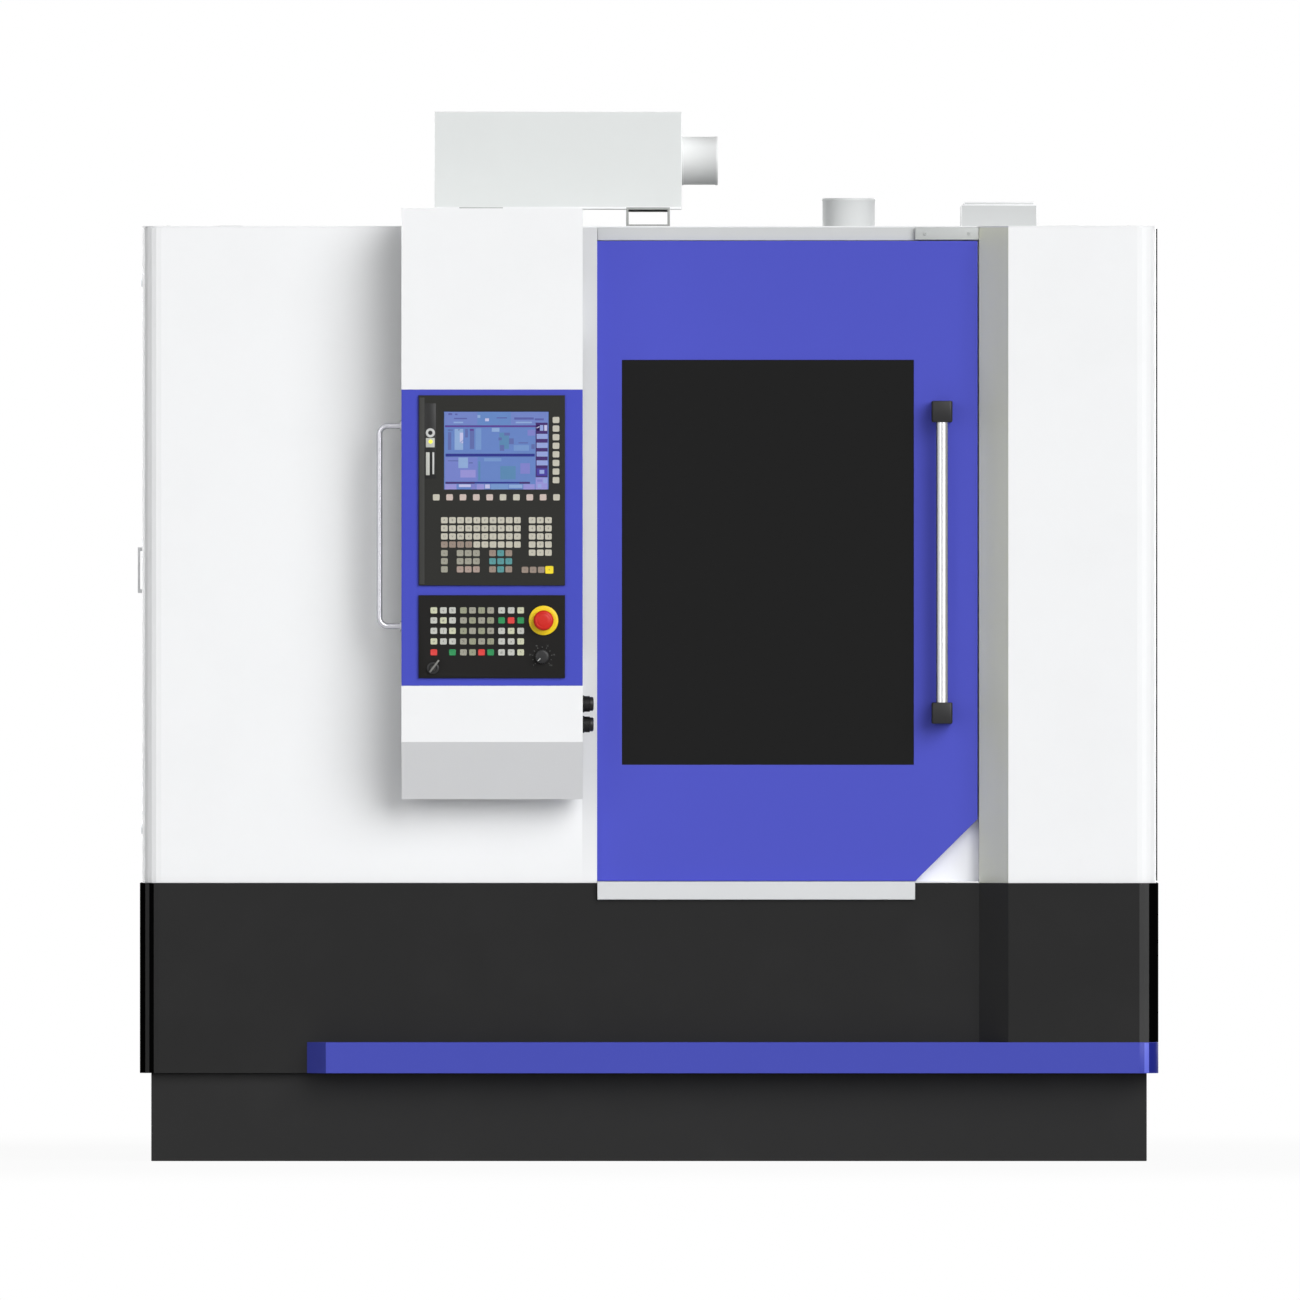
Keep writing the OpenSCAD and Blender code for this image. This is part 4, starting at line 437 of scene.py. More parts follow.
def cutHatch(bm, axis, plane, low, high):
    # a gap with a dark gasket round a rectangle of a flat side
    def flatFaces():
        return [f for f in bm.faces if abs(f.normal[axis]) > 0.99
                and abs(f.calc_center_median()[axis] / mm - plane) < 0.3]

    others = [i for i in (0, 1, 2) if i != axis]
    for i in others:
        for value in (low[i], high[i]):
            towards, point = Vector((0, 0, 0)), Vector((0, 0, 0))
            towards[i], point[i] = 1.0, value * mm
            cutFaces(bm, flatFaces(), point, towards)
    inside = [f for f in flatFaces() if all(low[i] < f.calc_center_median()[i] / mm < high[i] for i in others)]
    edge = bmesh.ops.inset_region(bm, faces=inside, thickness=seam["gap"] * mm, depth=-seam["depth"] * mm,
                                  use_even_offset=True)
    for face in edge["faces"]:
        face.material_index = 1
    bmesh.ops.inset_region(bm, faces=inside, thickness=seam["slope"] * mm, depth=seam["depth"] * mm,
                           use_even_offset=True)


def screwHead(radius=5.0, height=2.6):
    # low dome with a socket, on the XY plane
    socket = height - 1.6
    return turnedShape([(0, socket), (radius * 0.42, socket), (radius * 0.46, height), (radius * 0.7, height),
                        (radius * 0.95, height * 0.65), (radius, 0)], steps=12)


def screwsAlong(target, start, end, count, axis, side, radius=5.0, height=2.6, index=0):
    for i in range(count):
        share = i / max(1, count - 1)
        at = [a + (b - a) * share for a, b in zip(start, end)]
        addPlaced(target, screwHead(radius, height), against(at, axis, side), index)


def turnLock(target, at, axis, side, looks=(1, 2)):
    # quarter-turn lock: round rose and a slotted insert
    place = against(at, axis, side)
    rose = [(8.6, 1.0), (9.2, 3.0), (12.4, 3.0), (14.0, 1.8), (14.0, 0)]
    addPlaced(target, turnedShape(rose, steps=28), place, looks[0])
    addPlaced(target, turnedShape([(0, 2.2), (8.0, 2.2), (8.6, 1.0)], steps=24), place, looks[1])
    addPlaced(target, boxShape((-0.9, -6, 1.9), (0.9, 6, 2.9), 0.3, 1), place, looks[0])


hinge = dict(length=70.0, leaf=26, sheet=2.2, screwAt=15)


def hingePair(target, at, axis, side, reach, index=1):
    # two leaves with screws and a barrel between them
    place = against(at, axis, side)
    half, r, end = hinge["length"] / 2, reach / 2, hinge["length"]
    for left, right, screwX in ((0, hinge["leaf"], hinge["screwAt"]), (-hinge["leaf"], 0, -hinge["screwAt"])):
        addPlaced(target, boxShape((left, -half, 0), (right, half, hinge["sheet"]), 0.7, 1), place, index)
        for y in (-end / 3, end / 3):
            addPlaced(target, screwHead(3.4, 1.6), place @ Matrix.Translation(spot(screwX, y, 2.0)), index)
    addPlaced(target, turnedShape([(0, 0), (r - 0.6, 0), (r, 0.6), (r, end - 0.6), (r - 0.6, end), (0, end)],
                                  (0, -half, r), (0, 1, 0), 16), place, index)


def grille(target, at, size, axis, side, slats, rise=5.0, looks=(0, 1)):
    # framed grille: dark back, bevelled frame and tilted slats
    place = against(at, axis, side)
    w, h = size[0] / 2, size[1] / 2
    addPlaced(target, boxShape((-w + 6, -h + 6, -0.4), (w - 6, h - 6, 0.6)), place, looks[1])
    border = boxShape((-w, -h, 0), (w, h, rise))
    top = max(border.faces, key=lambda f: f.calc_center_median().z)
    bmesh.ops.inset_region(border, faces=[top], thickness=9 * mm, depth=0, use_even_offset=True)
    for spare in (max((f for f in border.faces if f.normal.z > 0.9), key=lambda f: f.calc_area()),
                  min(border.faces, key=lambda f: f.calc_center_median().z)):
        bmesh.ops.delete(border, geom=[spare], context="FACES")
    bmesh.ops.solidify(border, geom=border.faces[:], thickness=1.0 * mm)
    addPlaced(target, border, place, looks[0])
    step = (size[1] - 18) / slats
    for i in range(slats):
        slat = boxShape((-w + 8, -step * 0.36, -0.5), (w - 8, step * 0.36, 0.9), 0.3, 1)
        addPlaced(target, slat, place @ Matrix.Translation(spot(0, -h + 9 + step * (i + 0.5), rise * 0.5))
                  @ Matrix.Rotation(math.radians(28), 4, "X"), looks[0])


# Keys: caps with rounded corners, a sloped rim and a hollow face
keyCap = dict(corner=2.2, slope=1.1, rise=0.5, land=1.3, hollow=0.35, yellowGrow=1.5, letter=6.5, mark=7.5)


def capShape(low, high):
    bm = boxShape(low + Vector((0, keyCap["rise"], 0)), high)
    roundEdges(bm, [e for e in bm.edges if abs(e.verts[0].co.y - e.verts[1].co.y) > 1e-6], keyCap["corner"])
    face = min(bm.faces, key=lambda f: f.calc_center_median().y)
    for width, depth in ((keyCap["slope"], keyCap["rise"]), (keyCap["land"], -keyCap["hollow"])):
        bmesh.ops.inset_region(bm, faces=[face], thickness=width * mm, depth=depth * mm)
    return bm


def keyRows(boxes):
    # boxes in rows from the top, each row from the left
    rows = []
    for low, high in sorted(boxes, key=lambda b: -(b[0].z + b[1].z)):
        if rows and abs(rows[-1][0][0].z - low.z) < 2:
            rows[-1].append((low, high))
        else:
            rows.append([(low, high)])
    return [sorted(row, key=lambda b: b[0].x) for row in rows]


def addKeys(name, nodeName, looks, pickLook, pickText, inkSize):
    caps = bmesh.new()
    ink = bmesh.new()
    for r, row in enumerate(keyRows(solidsOf(nodeName))):
        for c, (low, high) in enumerate(row):
            centre = (low + high) / 2
            words, tone = pickText(r, c, centre), pickLook(r, c, centre)
            grow = Vector((1, 0, 1)) * (keyCap["yellowGrow"] if tone == "keyYellow" else 0)
            addPart(caps, capShape(low - grow, high + grow), looks.index(tone))
            if words:
                addPart(ink, textShape(words, inkSize, (centre.x, low.y + keyCap["hollow"], centre.z)))
    makePiece(name, caps, looks, "pendant", [nodeName])
    if len(ink.faces):
        makePiece(name + "_ink", ink, "keyInk", "pendant")


alphaKeys = ["ABCDEFGHIJ", "KLMNOPQRST", "UVWXYZ()=+", "<>[]/*-,.;"]
numberKeys = ["789", "456", "123", "-0.", "+=/"]
cursorKeys = ["/^\\", "<o>", "\\v/"]
plainKeys = "^v<>o+-x="
controlMarks = "+-<>^v=x#o%|/*"


def displayLook(r, c, centre):
    x, z = centre.x, centre.z
    if z > 1380:                                  # keys beside and under the screen
        return "keyPink" if z < 1400 and c in (1, 2, 3, 4, 7, 8) else "key_beige"
    if z < 1250:                                  # lowest row
        return "keyYellow" if x > -215 else "keyMauve" if -410 < x < -355 else "keyBrown" if x > -345 else "keyGrey"
    if z < 1285:
        return "key_beige" if x > -270 else "keyGrey"
    if 1290 < z < 1305 and x < -365:
        return "keyBrown"
    return "key_beige"


def blockText(texts, centre, left, top, stepX, stepZ):
    # letter at a place in a block of keys
    row = min(len(texts) - 1, max(0, round((top - centre.z) / stepZ)))
    column = min(len(texts[0]) - 1, max(0, round((centre.x - left) / stepX)))
    return texts[row][column]


def displayText(r, c, centre):
    if centre.z > 1380:
        return ""
    if centre.z > 1285 and centre.x < -270:
        return blockText(alphaKeys, centre, -428, 1346, 16.8, 16.6)
    if centre.x > -260 and centre.z > 1255:
        return blockText(numberKeys, centre, -245, 1346, 17, 17)
    return plainKeys[(r + 2 * c) % len(plainKeys)]


addKeys("display_key_caps", "display_keys", ["key_beige", "keyPink", "keyBrown", "keyGrey", "keyYellow", "keyMauve"],
        displayLook, displayText, keyCap["letter"])
addKeys("cursor_key_caps", "cursor_keys", ["key_teal", "keyBrown"],
        lambda r, c, centre: "key_teal" if r == 1 or c == 1 else "keyBrown",
        lambda r, c, centre: cursorKeys[r][c], keyCap["letter"])
addKeys("control_key_caps", "control_keys", ["key_white", "keyCream", "keyGrey", "keyOlive"],
        lambda r, c, centre: ("keyGrey", "keyOlive")[(r + c) % 2] if -400 < centre.x < -325
        else ("key_white", "keyCream")[(2 * r + c) % 3 == 0],
        lambda r, c, centre: controlMarks[(3 * r + 5 * c) % len(controlMarks)], keyCap["mark"])
for tone in ("red", "green"):
    addKeys("control_" + tone + "_keys_caps", "control_" + tone + "_keys", ["key_" + tone],
            lambda r, c, centre: "key_" + tone, lambda r, c, centre: "", keyCap["letter"])
print("keys done")

# Screen picture: flat tiles in front of the glass, placed from its upper left corner
screenTiles = [  # tone, left, top, right, bottom
    ("header", 2, 1, 70, 27), ("headerBlue", 70, 1, 140, 27), ("header", 140, 1, 217, 27), ("streak", 9, 3, 17, 7),
    ("streak", 23, 4, 28, 7), ("streak", 21, 13, 48, 15.5), ("pale", 20, 21, 40, 24), ("pale", 70, 7, 76, 13),
    ("white", 86, 14, 94, 20), ("streak", 110, 12, 132, 14), ("streak", 147, 12, 188, 16.5),
    ("streak", 190, 14, 209, 18), ("pale", 150, 21, 184, 24), ("violetLine", 2, 28.5, 193, 32.5),
    ("blue", 2, 33.5, 192, 87), ("text", 8, 37, 18, 40), ("text", 8, 43, 15, 80), ("text", 30, 37, 33, 40),
    ("pale", 22, 36, 40, 80), ("white", 33, 44, 40, 66), ("text", 44, 36, 50, 54), ("text", 54, 36, 63, 78),
    ("violetLine", 54, 36, 62, 40), ("paleBlue", 66, 35, 78, 80), ("blue", 80, 37, 110, 80),
    ("pale", 100, 34, 116, 42), ("teal", 116, 44, 136, 78), ("text", 114, 54, 121, 60), ("text", 126, 44, 138, 50),
    ("text", 136, 56, 146, 68), ("text", 117, 70, 126, 82), ("text", 156, 64, 176, 66.5), ("pink", 175, 38, 191, 50),
    ("text", 183, 68, 190, 78), ("paleBlue", 146, 70, 178, 82), ("deepLine", 3, 88, 190, 94),
    ("paleViolet", 2, 95, 70, 146), ("blue", 70, 95, 192, 146), ("text", 8, 102, 32, 104), ("pale", 30, 96, 50, 118),
    ("text", 52, 106, 60, 108.5), ("lilac", 34, 122, 66, 138), ("paleBlue", 84, 97, 120, 104),
    ("teal", 72, 104, 76, 144), ("pink", 160, 108, 180, 130), ("teal", 118, 114, 150, 142), ("gap", 3, 147, 64, 151),
    ("deepLine", 64, 147, 158, 150.5), ("gap", 158, 147, 180, 151), ("lilac", 2, 152, 26, 163),
    ("white", 31, 152.5, 56, 158), ("pink", 57, 152, 66, 163), ("lilac", 68, 152, 84, 163),
    ("white", 86, 152.5, 96, 161), ("paleBlue", 98, 152, 134, 163), ("pale", 136, 153, 164, 160),
    ("lilac", 166, 152, 190, 163), ("gap", 192, 23, 217, 137), ("white", 194, 28, 200, 40),
    ("box", 201, 28, 208, 40), ("white", 210, 28, 216, 40), ("box", 194, 46.5, 217, 57), ("box", 194, 65, 217, 76),
    ("box", 194, 83.5, 217, 94), ("box", 194, 102, 217, 112.5), ("indigo", 194, 119, 216, 134),
    ("box", 200, 122, 210, 130), ("lilac", 192, 138, 217, 163), ("pink", 195, 142, 206, 147),
    ("box", 208, 140, 216, 150), ("box", 196, 152, 204, 160)]

# The tiles lie so close to each other that their corners are worked out in metres, with no rounding in between
layers = dict(border=0.4, base=(0.10, 0.02), first=0.14, step=0.012, back=0.09)
glassLow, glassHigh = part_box("display_screen")
picture = bmesh.new()
tones = ["base"] + sorted(set(tile[0] for tile in screenTiles))
border, (baseFront, baseBack) = layers["border"] * mm, layers["base"]
addPart(picture, boxBetween((glassLow.x + border, glassLow.y - baseFront * mm, glassLow.z + border),
                            (glassHigh.x - border, glassLow.y - baseBack * mm, glassHigh.z - border)))
for order, (tone, left, top, right, bottom) in enumerate(screenTiles):
    front = glassLow.y - (layers["first"] + layers["step"] * order) * mm
    addPart(picture, boxBetween((glassLow.x + left * mm, front, glassHigh.z - bottom * mm),
                                (glassLow.x + right * mm, glassLow.y - layers["back"] * mm, glassHigh.z - top * mm)),
            tones.index(tone))
makePiece("screen_picture", picture, ["screen_" + tone for tone in tones], "pendant")

# Frame of the screen and the strip with the ports at its left
portStrip = dict(x=-458.4, ringZ=1528.2, ledZ=1507.8, loopTop=1494.5, loopLow=1439.5)
fittings = bmesh.new()
rim = bmesh.new()
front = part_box("display_unit")[0].y / mm
rimLow, rimHigh = inMm((glassLow - spot(7, 0, 1), glassHigh + spot(6, 0, 8)))
rimMiddle, rimSize = (rimLow + rimHigh) / 2, (rimHigh - rimLow) * mm
bmesh.ops.create_grid(rim, x_segments=1, y_segments=1, size=0.5, matrix=upright(
    rimMiddle.x, front - 0.15, rimMiddle.z) @ Matrix.Diagonal((rimSize.x, rimSize.z, 1, 1)))
outerBand(rim, 5.5)
bmesh.ops.solidify(rim, geom=rim.faces[:], thickness=0.14 * mm)
addPart(fittings, rim, 0)
px, ringZ, ledZ, loopTop, loopLow = (portStrip[key] for key in ("x", "ringZ", "ledZ", "loopTop", "loopLow"))
for low, high, index, bevel in (
        ((-481, front - 0.3, 1211), (-470.6, front + 0.2, 1602), 2, 0.2),
        ((-470.2, front - 0.35, 1432), (-446.6, front + 0.2, 1590), 0, 0.25),
        ((px - 9.2, front - 1.2, ledZ - 10), (px + 9.2, front + 0.1, ledZ + 9.4), 4, 1.0),
        ((px - 9.2, front - 1.0, loopLow), (px - 1.4, front + 0.1, loopTop - 7), 4, 0.8),
        ((px + 4.4, front - 1.0, loopLow + 2), (px + 8.2, front + 0.1, loopTop - 7), 1, 0.8)):
    addBox(fittings, low, high, index, bevel)
for profile, at, steps, index in (
        ([(4.6, 0), (4.6, 1.0), (5.4, 1.4), (8.6, 1.4), (9.6, 0.8), (9.6, 0)], (px, front, ringZ), 36, 1),
        ([(0, 0.3), (4.6, 0.3)], (px, front - 0.2, ringZ), 24, 3),
        ([(4.3, 0), (4.3, 0.8), (3.4, 1.3), (0, 1.6)], (px + 0.6, front - 0.8, ledZ + 2), 28, 5)):
    addTurned(fittings, profile, at, (0, -1, 0), steps, index)
arch = bmesh.new()
bmesh.ops.create_circle(arch, segments=32, radius=8.8 * mm, matrix=upright(px - 0.4, front - 0.9, loopTop - 9),
                        cap_ends=True)
outerBand(arch, 4.2)
bmesh.ops.bisect_plane(arch, geom=arch.verts[:] + arch.edges[:] + arch.faces[:], plane_co=spot(0, 0, loopTop - 9),
                       plane_no=(0, 0, 1), clear_inner=True)
bmesh.ops.solidify(arch, geom=arch.faces[:], thickness=0.8 * mm)
addPart(fittings, arch, 1)
makePiece("display_fittings", fittings, ["darkHole", "brightInk", "seamShade", "darkHole", "key_white", "ledYellow"],
          "pendant")

# Emergency stop: bevelled yellow collar, red mushroom head with a turned groove
collarInner = 11.6
collarProfile = [(collarInner, 0), (collarInner, 3.2), (14, 3.7), (22, 4.0), (29.4, 3.9), (30.6, 3.2), (30.9, 2.0),
                 (30.9, 0), (collarInner, 0)]
headProfile = [(0, 0), (8, 0.1), (13.2, 0.45), (13.8, 0.9), (14.6, 0.9), (15.2, 0.5), (17.6, 1.2), (19.6, 2.6),
               (20.8, 4.8), (21.0, 7.2), (20.9, 12.4), (20.3, 14.6), (19.0, 16.0), (11.0, 16.5)]
stopLow, stopHigh = inMm(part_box("stop_collar"))
headLow, headHigh = inMm(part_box("stop_button"))
stopX, stopZ = (stopLow.x + stopHigh.x) / 2, (stopLow.z + stopHigh.z) / 2
collar = turnedShape(collarProfile, (stopX, stopHigh.y, stopZ), (0, -1, 0), 72)
makePiece("stop_collar_disc", collar, "stop_yellow", "pendant", ["stop_collar"])
shaftEnd = headHigh.y - headLow.y
head = turnedShape([(r, -h) for r, h in headProfile + [(11, shaftEnd), (0, shaftEnd)]],
                   (stopX, headLow.y, stopZ), (0, -1, 0), 64)
makePiece("stop_head", head, "stop_red", "stop_button_body", ["stop_button"], sharp=50)

# Override knob: grooved grip with a pointer, and a dial of ticks and numbers behind it
dial = dict(x=-224.0, z=1059.0, tickIn=19.0, tickOut=21.5, numberAt=25.5, number=4.2, first=-135, step=27,
            pointer=225)
knobLow, knobHigh = inMm(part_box("override_knob"))
knobFront, faceY = knobLow.y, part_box("control_unit")[0].y / mm
knobBack = faceY - 0.4
knob = bmesh.new()
addPart(knob, flutedGrip(22, 14.8, 13.6, knobBack - knobFront - 1.2,
                         upright(dial["x"], (knobBack + knobFront) / 2 + 0.6, dial["z"]), 0.25, 0.7))
addTurned(knob, [(0, 0), (9.5, 0), (11.5, 0.35), (13.2, 1.2), (13.6, 1.3)], (dial["x"], knobFront, dial["z"]),
          (0, 1, 0), 44)
addPlaced(knob, boxShape((-0.9, 0, 5.2), (0.9, 0.25, 12.6), 0.1),
          leaning((dial["x"], knobFront - 0.05, dial["z"]), dial["pointer"]), 1)
shaftLength = knobHigh.y - knobBack
addTurned(knob, [(4, 0), (4, shaftLength), (0, shaftLength)], (dial["x"], knobBack, dial["z"]), (0, 1, 0), 24)
makePiece("override_grip", knob, ["black_plastic", "brightInk"], "override_knob_body", ["override_knob"])
scale = bmesh.new()
for i in range(11):
    degrees = dial["first"] + dial["step"] * i
    addPlaced(scale, boxShape((-0.5, -0.12, dial["tickIn"]), (0.5, 0.05, dial["tickOut"])),
              leaning((dial["x"], faceY, dial["z"]), degrees))
    if i % 2 == 0:
        angle = math.radians(degrees)
        addPart(scale, textShape(str(12 * i), dial["number"], (
            dial["x"] + dial["numberAt"] * math.sin(angle), faceY - 0.06,
            dial["z"] + dial["numberAt"] * math.cos(angle))))
makePiece("override_dial", scale, "dialInk", "pendant")

# Key switch: turned lock with a key standing in it
lock = dict(x=-453.0, z=1035.0, ring=12.8, plug=6.4, shank=11, lean=37, bow=(-11.0, 21.0))
lockLow, lockHigh = inMm(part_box("key_switch"))
lockAt, lockDepth = (lock["x"], lockLow.y, lock["z"]), lockHigh.y - lockLow.y
switch = bmesh.new()
addTurned(switch, [(lock["plug"], 1.2), (7.2, 0.2), (8.4, 0.0), (10.6, 0.0), (lock["ring"], 1.2), (lock["ring"], 4.6),
                   (lock["shank"], 4.6), (lock["shank"], lockDepth), (0, lockDepth)], lockAt, (0, 1, 0), 48)
addTurned(switch, [(0, 0.9), (5.4, 0.9), (lock["plug"], 1.4)], lockAt, (0, 1, 0), 36, 1)
blade = boxShape((-1.1, -3.0, -4.4), (1.1, 1.4, 4.4), 0.4, 1)
bow = boxShape((-1.9, -14.0, lock["bow"][0]), (1.9, -3.0, lock["bow"][1]))
roundEdges(bow, [e for e in bow.edges if abs(e.verts[0].co.x - e.verts[1].co.x) > 1e-6], 4.2, 4)
roundEdges(bow, [e for e in bow.edges if e.calc_face_angle(0) > 1.2], 0.4)
for part, index in ((blade, 2), (bow, 3)):
    addPlaced(switch, part, leaning(lockAt, lock["lean"]), index)
makePiece("key_lock", switch, ["black_plastic", "seamShade", "chrome", "keyHandle"], "key_switch_body",
          ["key_switch"])

# Service plugs: flange, knurled grip and a rounded cap on the pendant's side
plug = dict(flange=18.0, grip=16.6, cap=14.6, ribs=28)
plugs = bmesh.new()
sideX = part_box("pendant_housing")[1].x / mm
for low, high in solidsOf("service_plugs"):
    at = Vector((sideX, (low.y + high.y) / 2, (low.z + high.z) / 2))
    addTurned(plugs, [(0, -2), (12, -2), (12, 0), (17.4, 0), (plug["flange"], 0.6), (plug["flange"], 2.8),
                      (17.2, 3.6), (16, 3.6)], at, (1, 0, 0), 48)
    addPart(plugs, flutedGrip(plug["ribs"], plug["grip"], plug["grip"], 11, leaning(at + Vector((9.1, 0, 0)), 90),
                              0.2, 0.8))
    addTurned(plugs, [(16.2, 14.4), (15.4, 15.2), (plug["cap"], 15.4), (plug["cap"], 20.6), (13.2, 22.4), (9, 22.9),
                      (0, 22.9)], at, (1, 0, 0), 48)
makePiece("knurled_plugs", plugs, "plugBlack", "pendant", ["service_plugs"], sharp=40)
print("screen, stop, dial, key and plugs done")

# Rounded edges on the panels and castings that show, with seams of hatches cut in their sides
sides = dict(left=-1064.0, right=1064.0, rear=886.0, roof=1963.0, skirtLeft=-1069.0, skirtRight=1069.0)
hatches = dict(  # for each hatch: the axis it looks along, its plane and two corners
    left_cover=[(0, sides["left"], (0, y1, 650), (0, y2, 1900)) for y1, y2 in ((-742, -60), (40, 800))],
    right_cover=[(0, sides["right"], (0, y1, 650), (0, y2, 1900)) for y1, y2 in ((-640, 0), (60, 800))],
    rear_cover=[(1, sides["rear"], (240, 0, 1060), (980, 0, 1900))],
    roof_panel=[(2, sides["roof"], (x1, 80, 0), (x2, 820, 0)) for x1, x2 in ((-960, -60), (80, 960))],
    lower_skirt=[(0, sides[side], (0, y1, low), (0, y2, 540))
                 for side, low in (("skirtLeft", 250), ("skirtRight", 290)) for y1, y2 in ((-620, 20), (120, 760))],
    mist_collector=[(1, -80.0, (-420, 0, 2040), (30, 0, 2180))],
    roof_duct=[(2, 2016.0, (690, -560, 0), (790, -290, 0))])
edgeWidths = dict(
    door_panel=1.6, window_frame=1.2, door_handle_ends=3.0, door_lintel=1.0, door_sill=1.4, door_post=0.8,
    pendant_housing=2.5, pendant_panel=0.8, display_unit=1.4, control_unit=1.4, mist_collector=4.0, roof_duct=1.8,
    plinth=1.5, blue_rail=0.8, left_cover=0.8, right_cover=0.8, roof_panel=0.8, rear_cover=0.8, lower_skirt=0.8,
    cabinet_door_left=1.2, cabinet_door_right=1.2, chip_conveyor=1.0, collector_runners=0.6)
toneAt = dict(strip=-140.0, facet=(690, 756), corner=1025)


def cornerTurn(face):
    # how far a flat of a bent corner is turned: 0 looks sideways, 90 forwards; nothing for other faces
    turn = math.degrees(math.atan2(abs(face.normal.y), abs(face.normal.x)))
    bent = abs(face.normal.z) < 0.1 and 4 < turn < 86 and abs(face.calc_center_median().x) > toneAt["corner"] * mm
    return turn if bent else None


def isFacet(face):
    # a flat of the slanted face beside the door, which looks left and forwards
    left, right = toneAt["facet"]
    return face.normal.x < -0.4 and face.normal.y < -0.3 and left < face.calc_center_median().x / mm < right


def cornerTone(face):
    # painted shade and painted highlights on the flats of the skirt's bent corners
    turn = cornerTurn(face)
    if turn is None:
        # the skirt's slanted face gets painted light
        return 5 if isFacet(face) else None
    if face.calc_center_median().x < 0:
        return 3 if 45 < turn < 60 else 0 if turn > 75 else 2
    return 2 if turn < 60 else 4


def railTone(face):
    # painted shade and a painted highlight on the flats of the rail's bent corner
    turn = cornerTurn(face)
    return None if turn is None or turn >= 75 else 1 if turn < 60 else 2


def stripTone(face):
    # painted shade of the pendant on the left cover's front between the pendant and the door
    return 2 if face.normal.y < -0.99 and face.calc_center_median().x > toneAt["strip"] * mm else None


def edgeHighlightTone(face):
    # painted highlight: the rounded edges are white
    return 2 if max(abs(part) for part in face.normal) < 0.99 else None


def footTone(face):
    # painted shade on faces of the pendant's housing that look down and forwards, such as its slanted foot
    return 2 if face.normal.z < -0.1 and face.normal.y < -0.3 else None


# The tones picked here are painted shade and painted highlights on single faces
toneCuts = dict(  # what picks a face's look by its index, or leaves it, and the looks to pick from
    left_cover=(stripTone, ["white_paint", "seamShade", "stripShade"]),
    # the slanted face beside the door gets painted shade
    right_cover=(lambda f: 2 if isFacet(f) else None, ["white_paint", "seamShade", "facetShade"]),
    lower_skirt=(cornerTone, ["dark_paint", "darkHole", "cornerShade", "cornerHighlightLine", "cornerHighlight", "skirtFacetPaintedLight"]),
    mist_collector=(edgeHighlightTone, ["grey_paint", "seamShade", "white_paint"]),
    roof_duct=(edgeHighlightTone, ["ductGrey", "seamShade", "white_paint"]),
    blue_rail=(railTone, ["railBlue", "railCornerShade", "railCornerHighlight"]),
    pendant_housing=(footTone, ["white_paint", "seamShade", "footShade"]))
for nodeName, width in edgeWidths.items():
    pickTone, looks = toneCuts.get(nodeName, (None, None))
    cuts = hatches.get(nodeName, [])

    def rework(bm):
        for cut in cuts:
            cutHatch(bm, *cut)
        if nodeName == "left_cover":
            # cut the cover's front at the edge of the strip that gets painted shade
            cutFaces(bm, [f for f in bm.faces if f.normal.y < -0.99], spot(toneAt["strip"], 0, 0), (1, 0, 0))
        for face in bm.faces:
            index = pickTone(face) if pickTone else None
            if index is not None:
                face.material_index = index

    if cuts and not looks:
        looks = [nodeFinish.get(nodeName, nodeSlots[nodeName]), "seamShade"]
    softened(nodeName, width, looks, rework)
print("edges rounded on", len(edgeWidths), "nodes")

# Left and right side: hinges, locks and louvres of the hatches, dark strips from top to bottom on the right, painted
# shade for the dark line along the right edge
sideFit = dict(hingeZ=(760, 1275, 1790), lowLock=700, midLock=1275, highLock=1850, louvres=7, louvreZ=1640,
               louvreStep=26)


def sideFittings(target, x, side, hingeY, reach, locks, louvreY):
    for z in sideFit["hingeZ"]:
        for y in hingeY:
            hingePair(target, (x, y, z), 0, side, reach)
    for y, z in locks:
        turnLock(target, (x, y, sideFit[z]), 0, side)
    for y in louvreY:
        for k in range(sideFit["louvres"]):
            place = against((x, y, sideFit["louvreZ"] + sideFit["louvreStep"] * k), 0, side)
            addPlaced(target, boxShape((-62, -4.5, -0.5), (62, 4.5, 3.6), 2.2), place, 0)
            addPlaced(target, boxShape((-60, -7.2, -0.4), (60, -4.2, 0.5)), place, 2)


fittings = bmesh.new()
sideFittings(fittings, sides["left"], -1, (-60, 40), 8.0, (
    (-716, "lowLock"), (-716, "highLock"), (774, "lowLock"), (774, "midLock"), (774, "highLock")), (230, 420, 610))
makePiece("left_side_fittings", fittings, ["white_paint", "zinc_sheet", "black_plastic"], "machine_frame", sharp=40)
fittings = bmesh.new()
# dark strips whose colour is painted shade along the right edge
for y in (-700, 22):
    addBox(fittings, (sides["right"] - 0.4, y, 588), (sides["right"] + 4.9, y + 20, 1959), 3, 0.4)
sideFittings(fittings, sides["right"], 1, (-640, 800), 4.4, [
    (y, z) for y in (-26, 86) for z in ("lowLock", "midLock", "highLock")], (270, 430, 590))
makePiece("right_side_fittings", fittings, ["white_paint", "zinc_sheet", "black_plastic", "edgeLineShade"],
          "machine_frame", sharp=40)

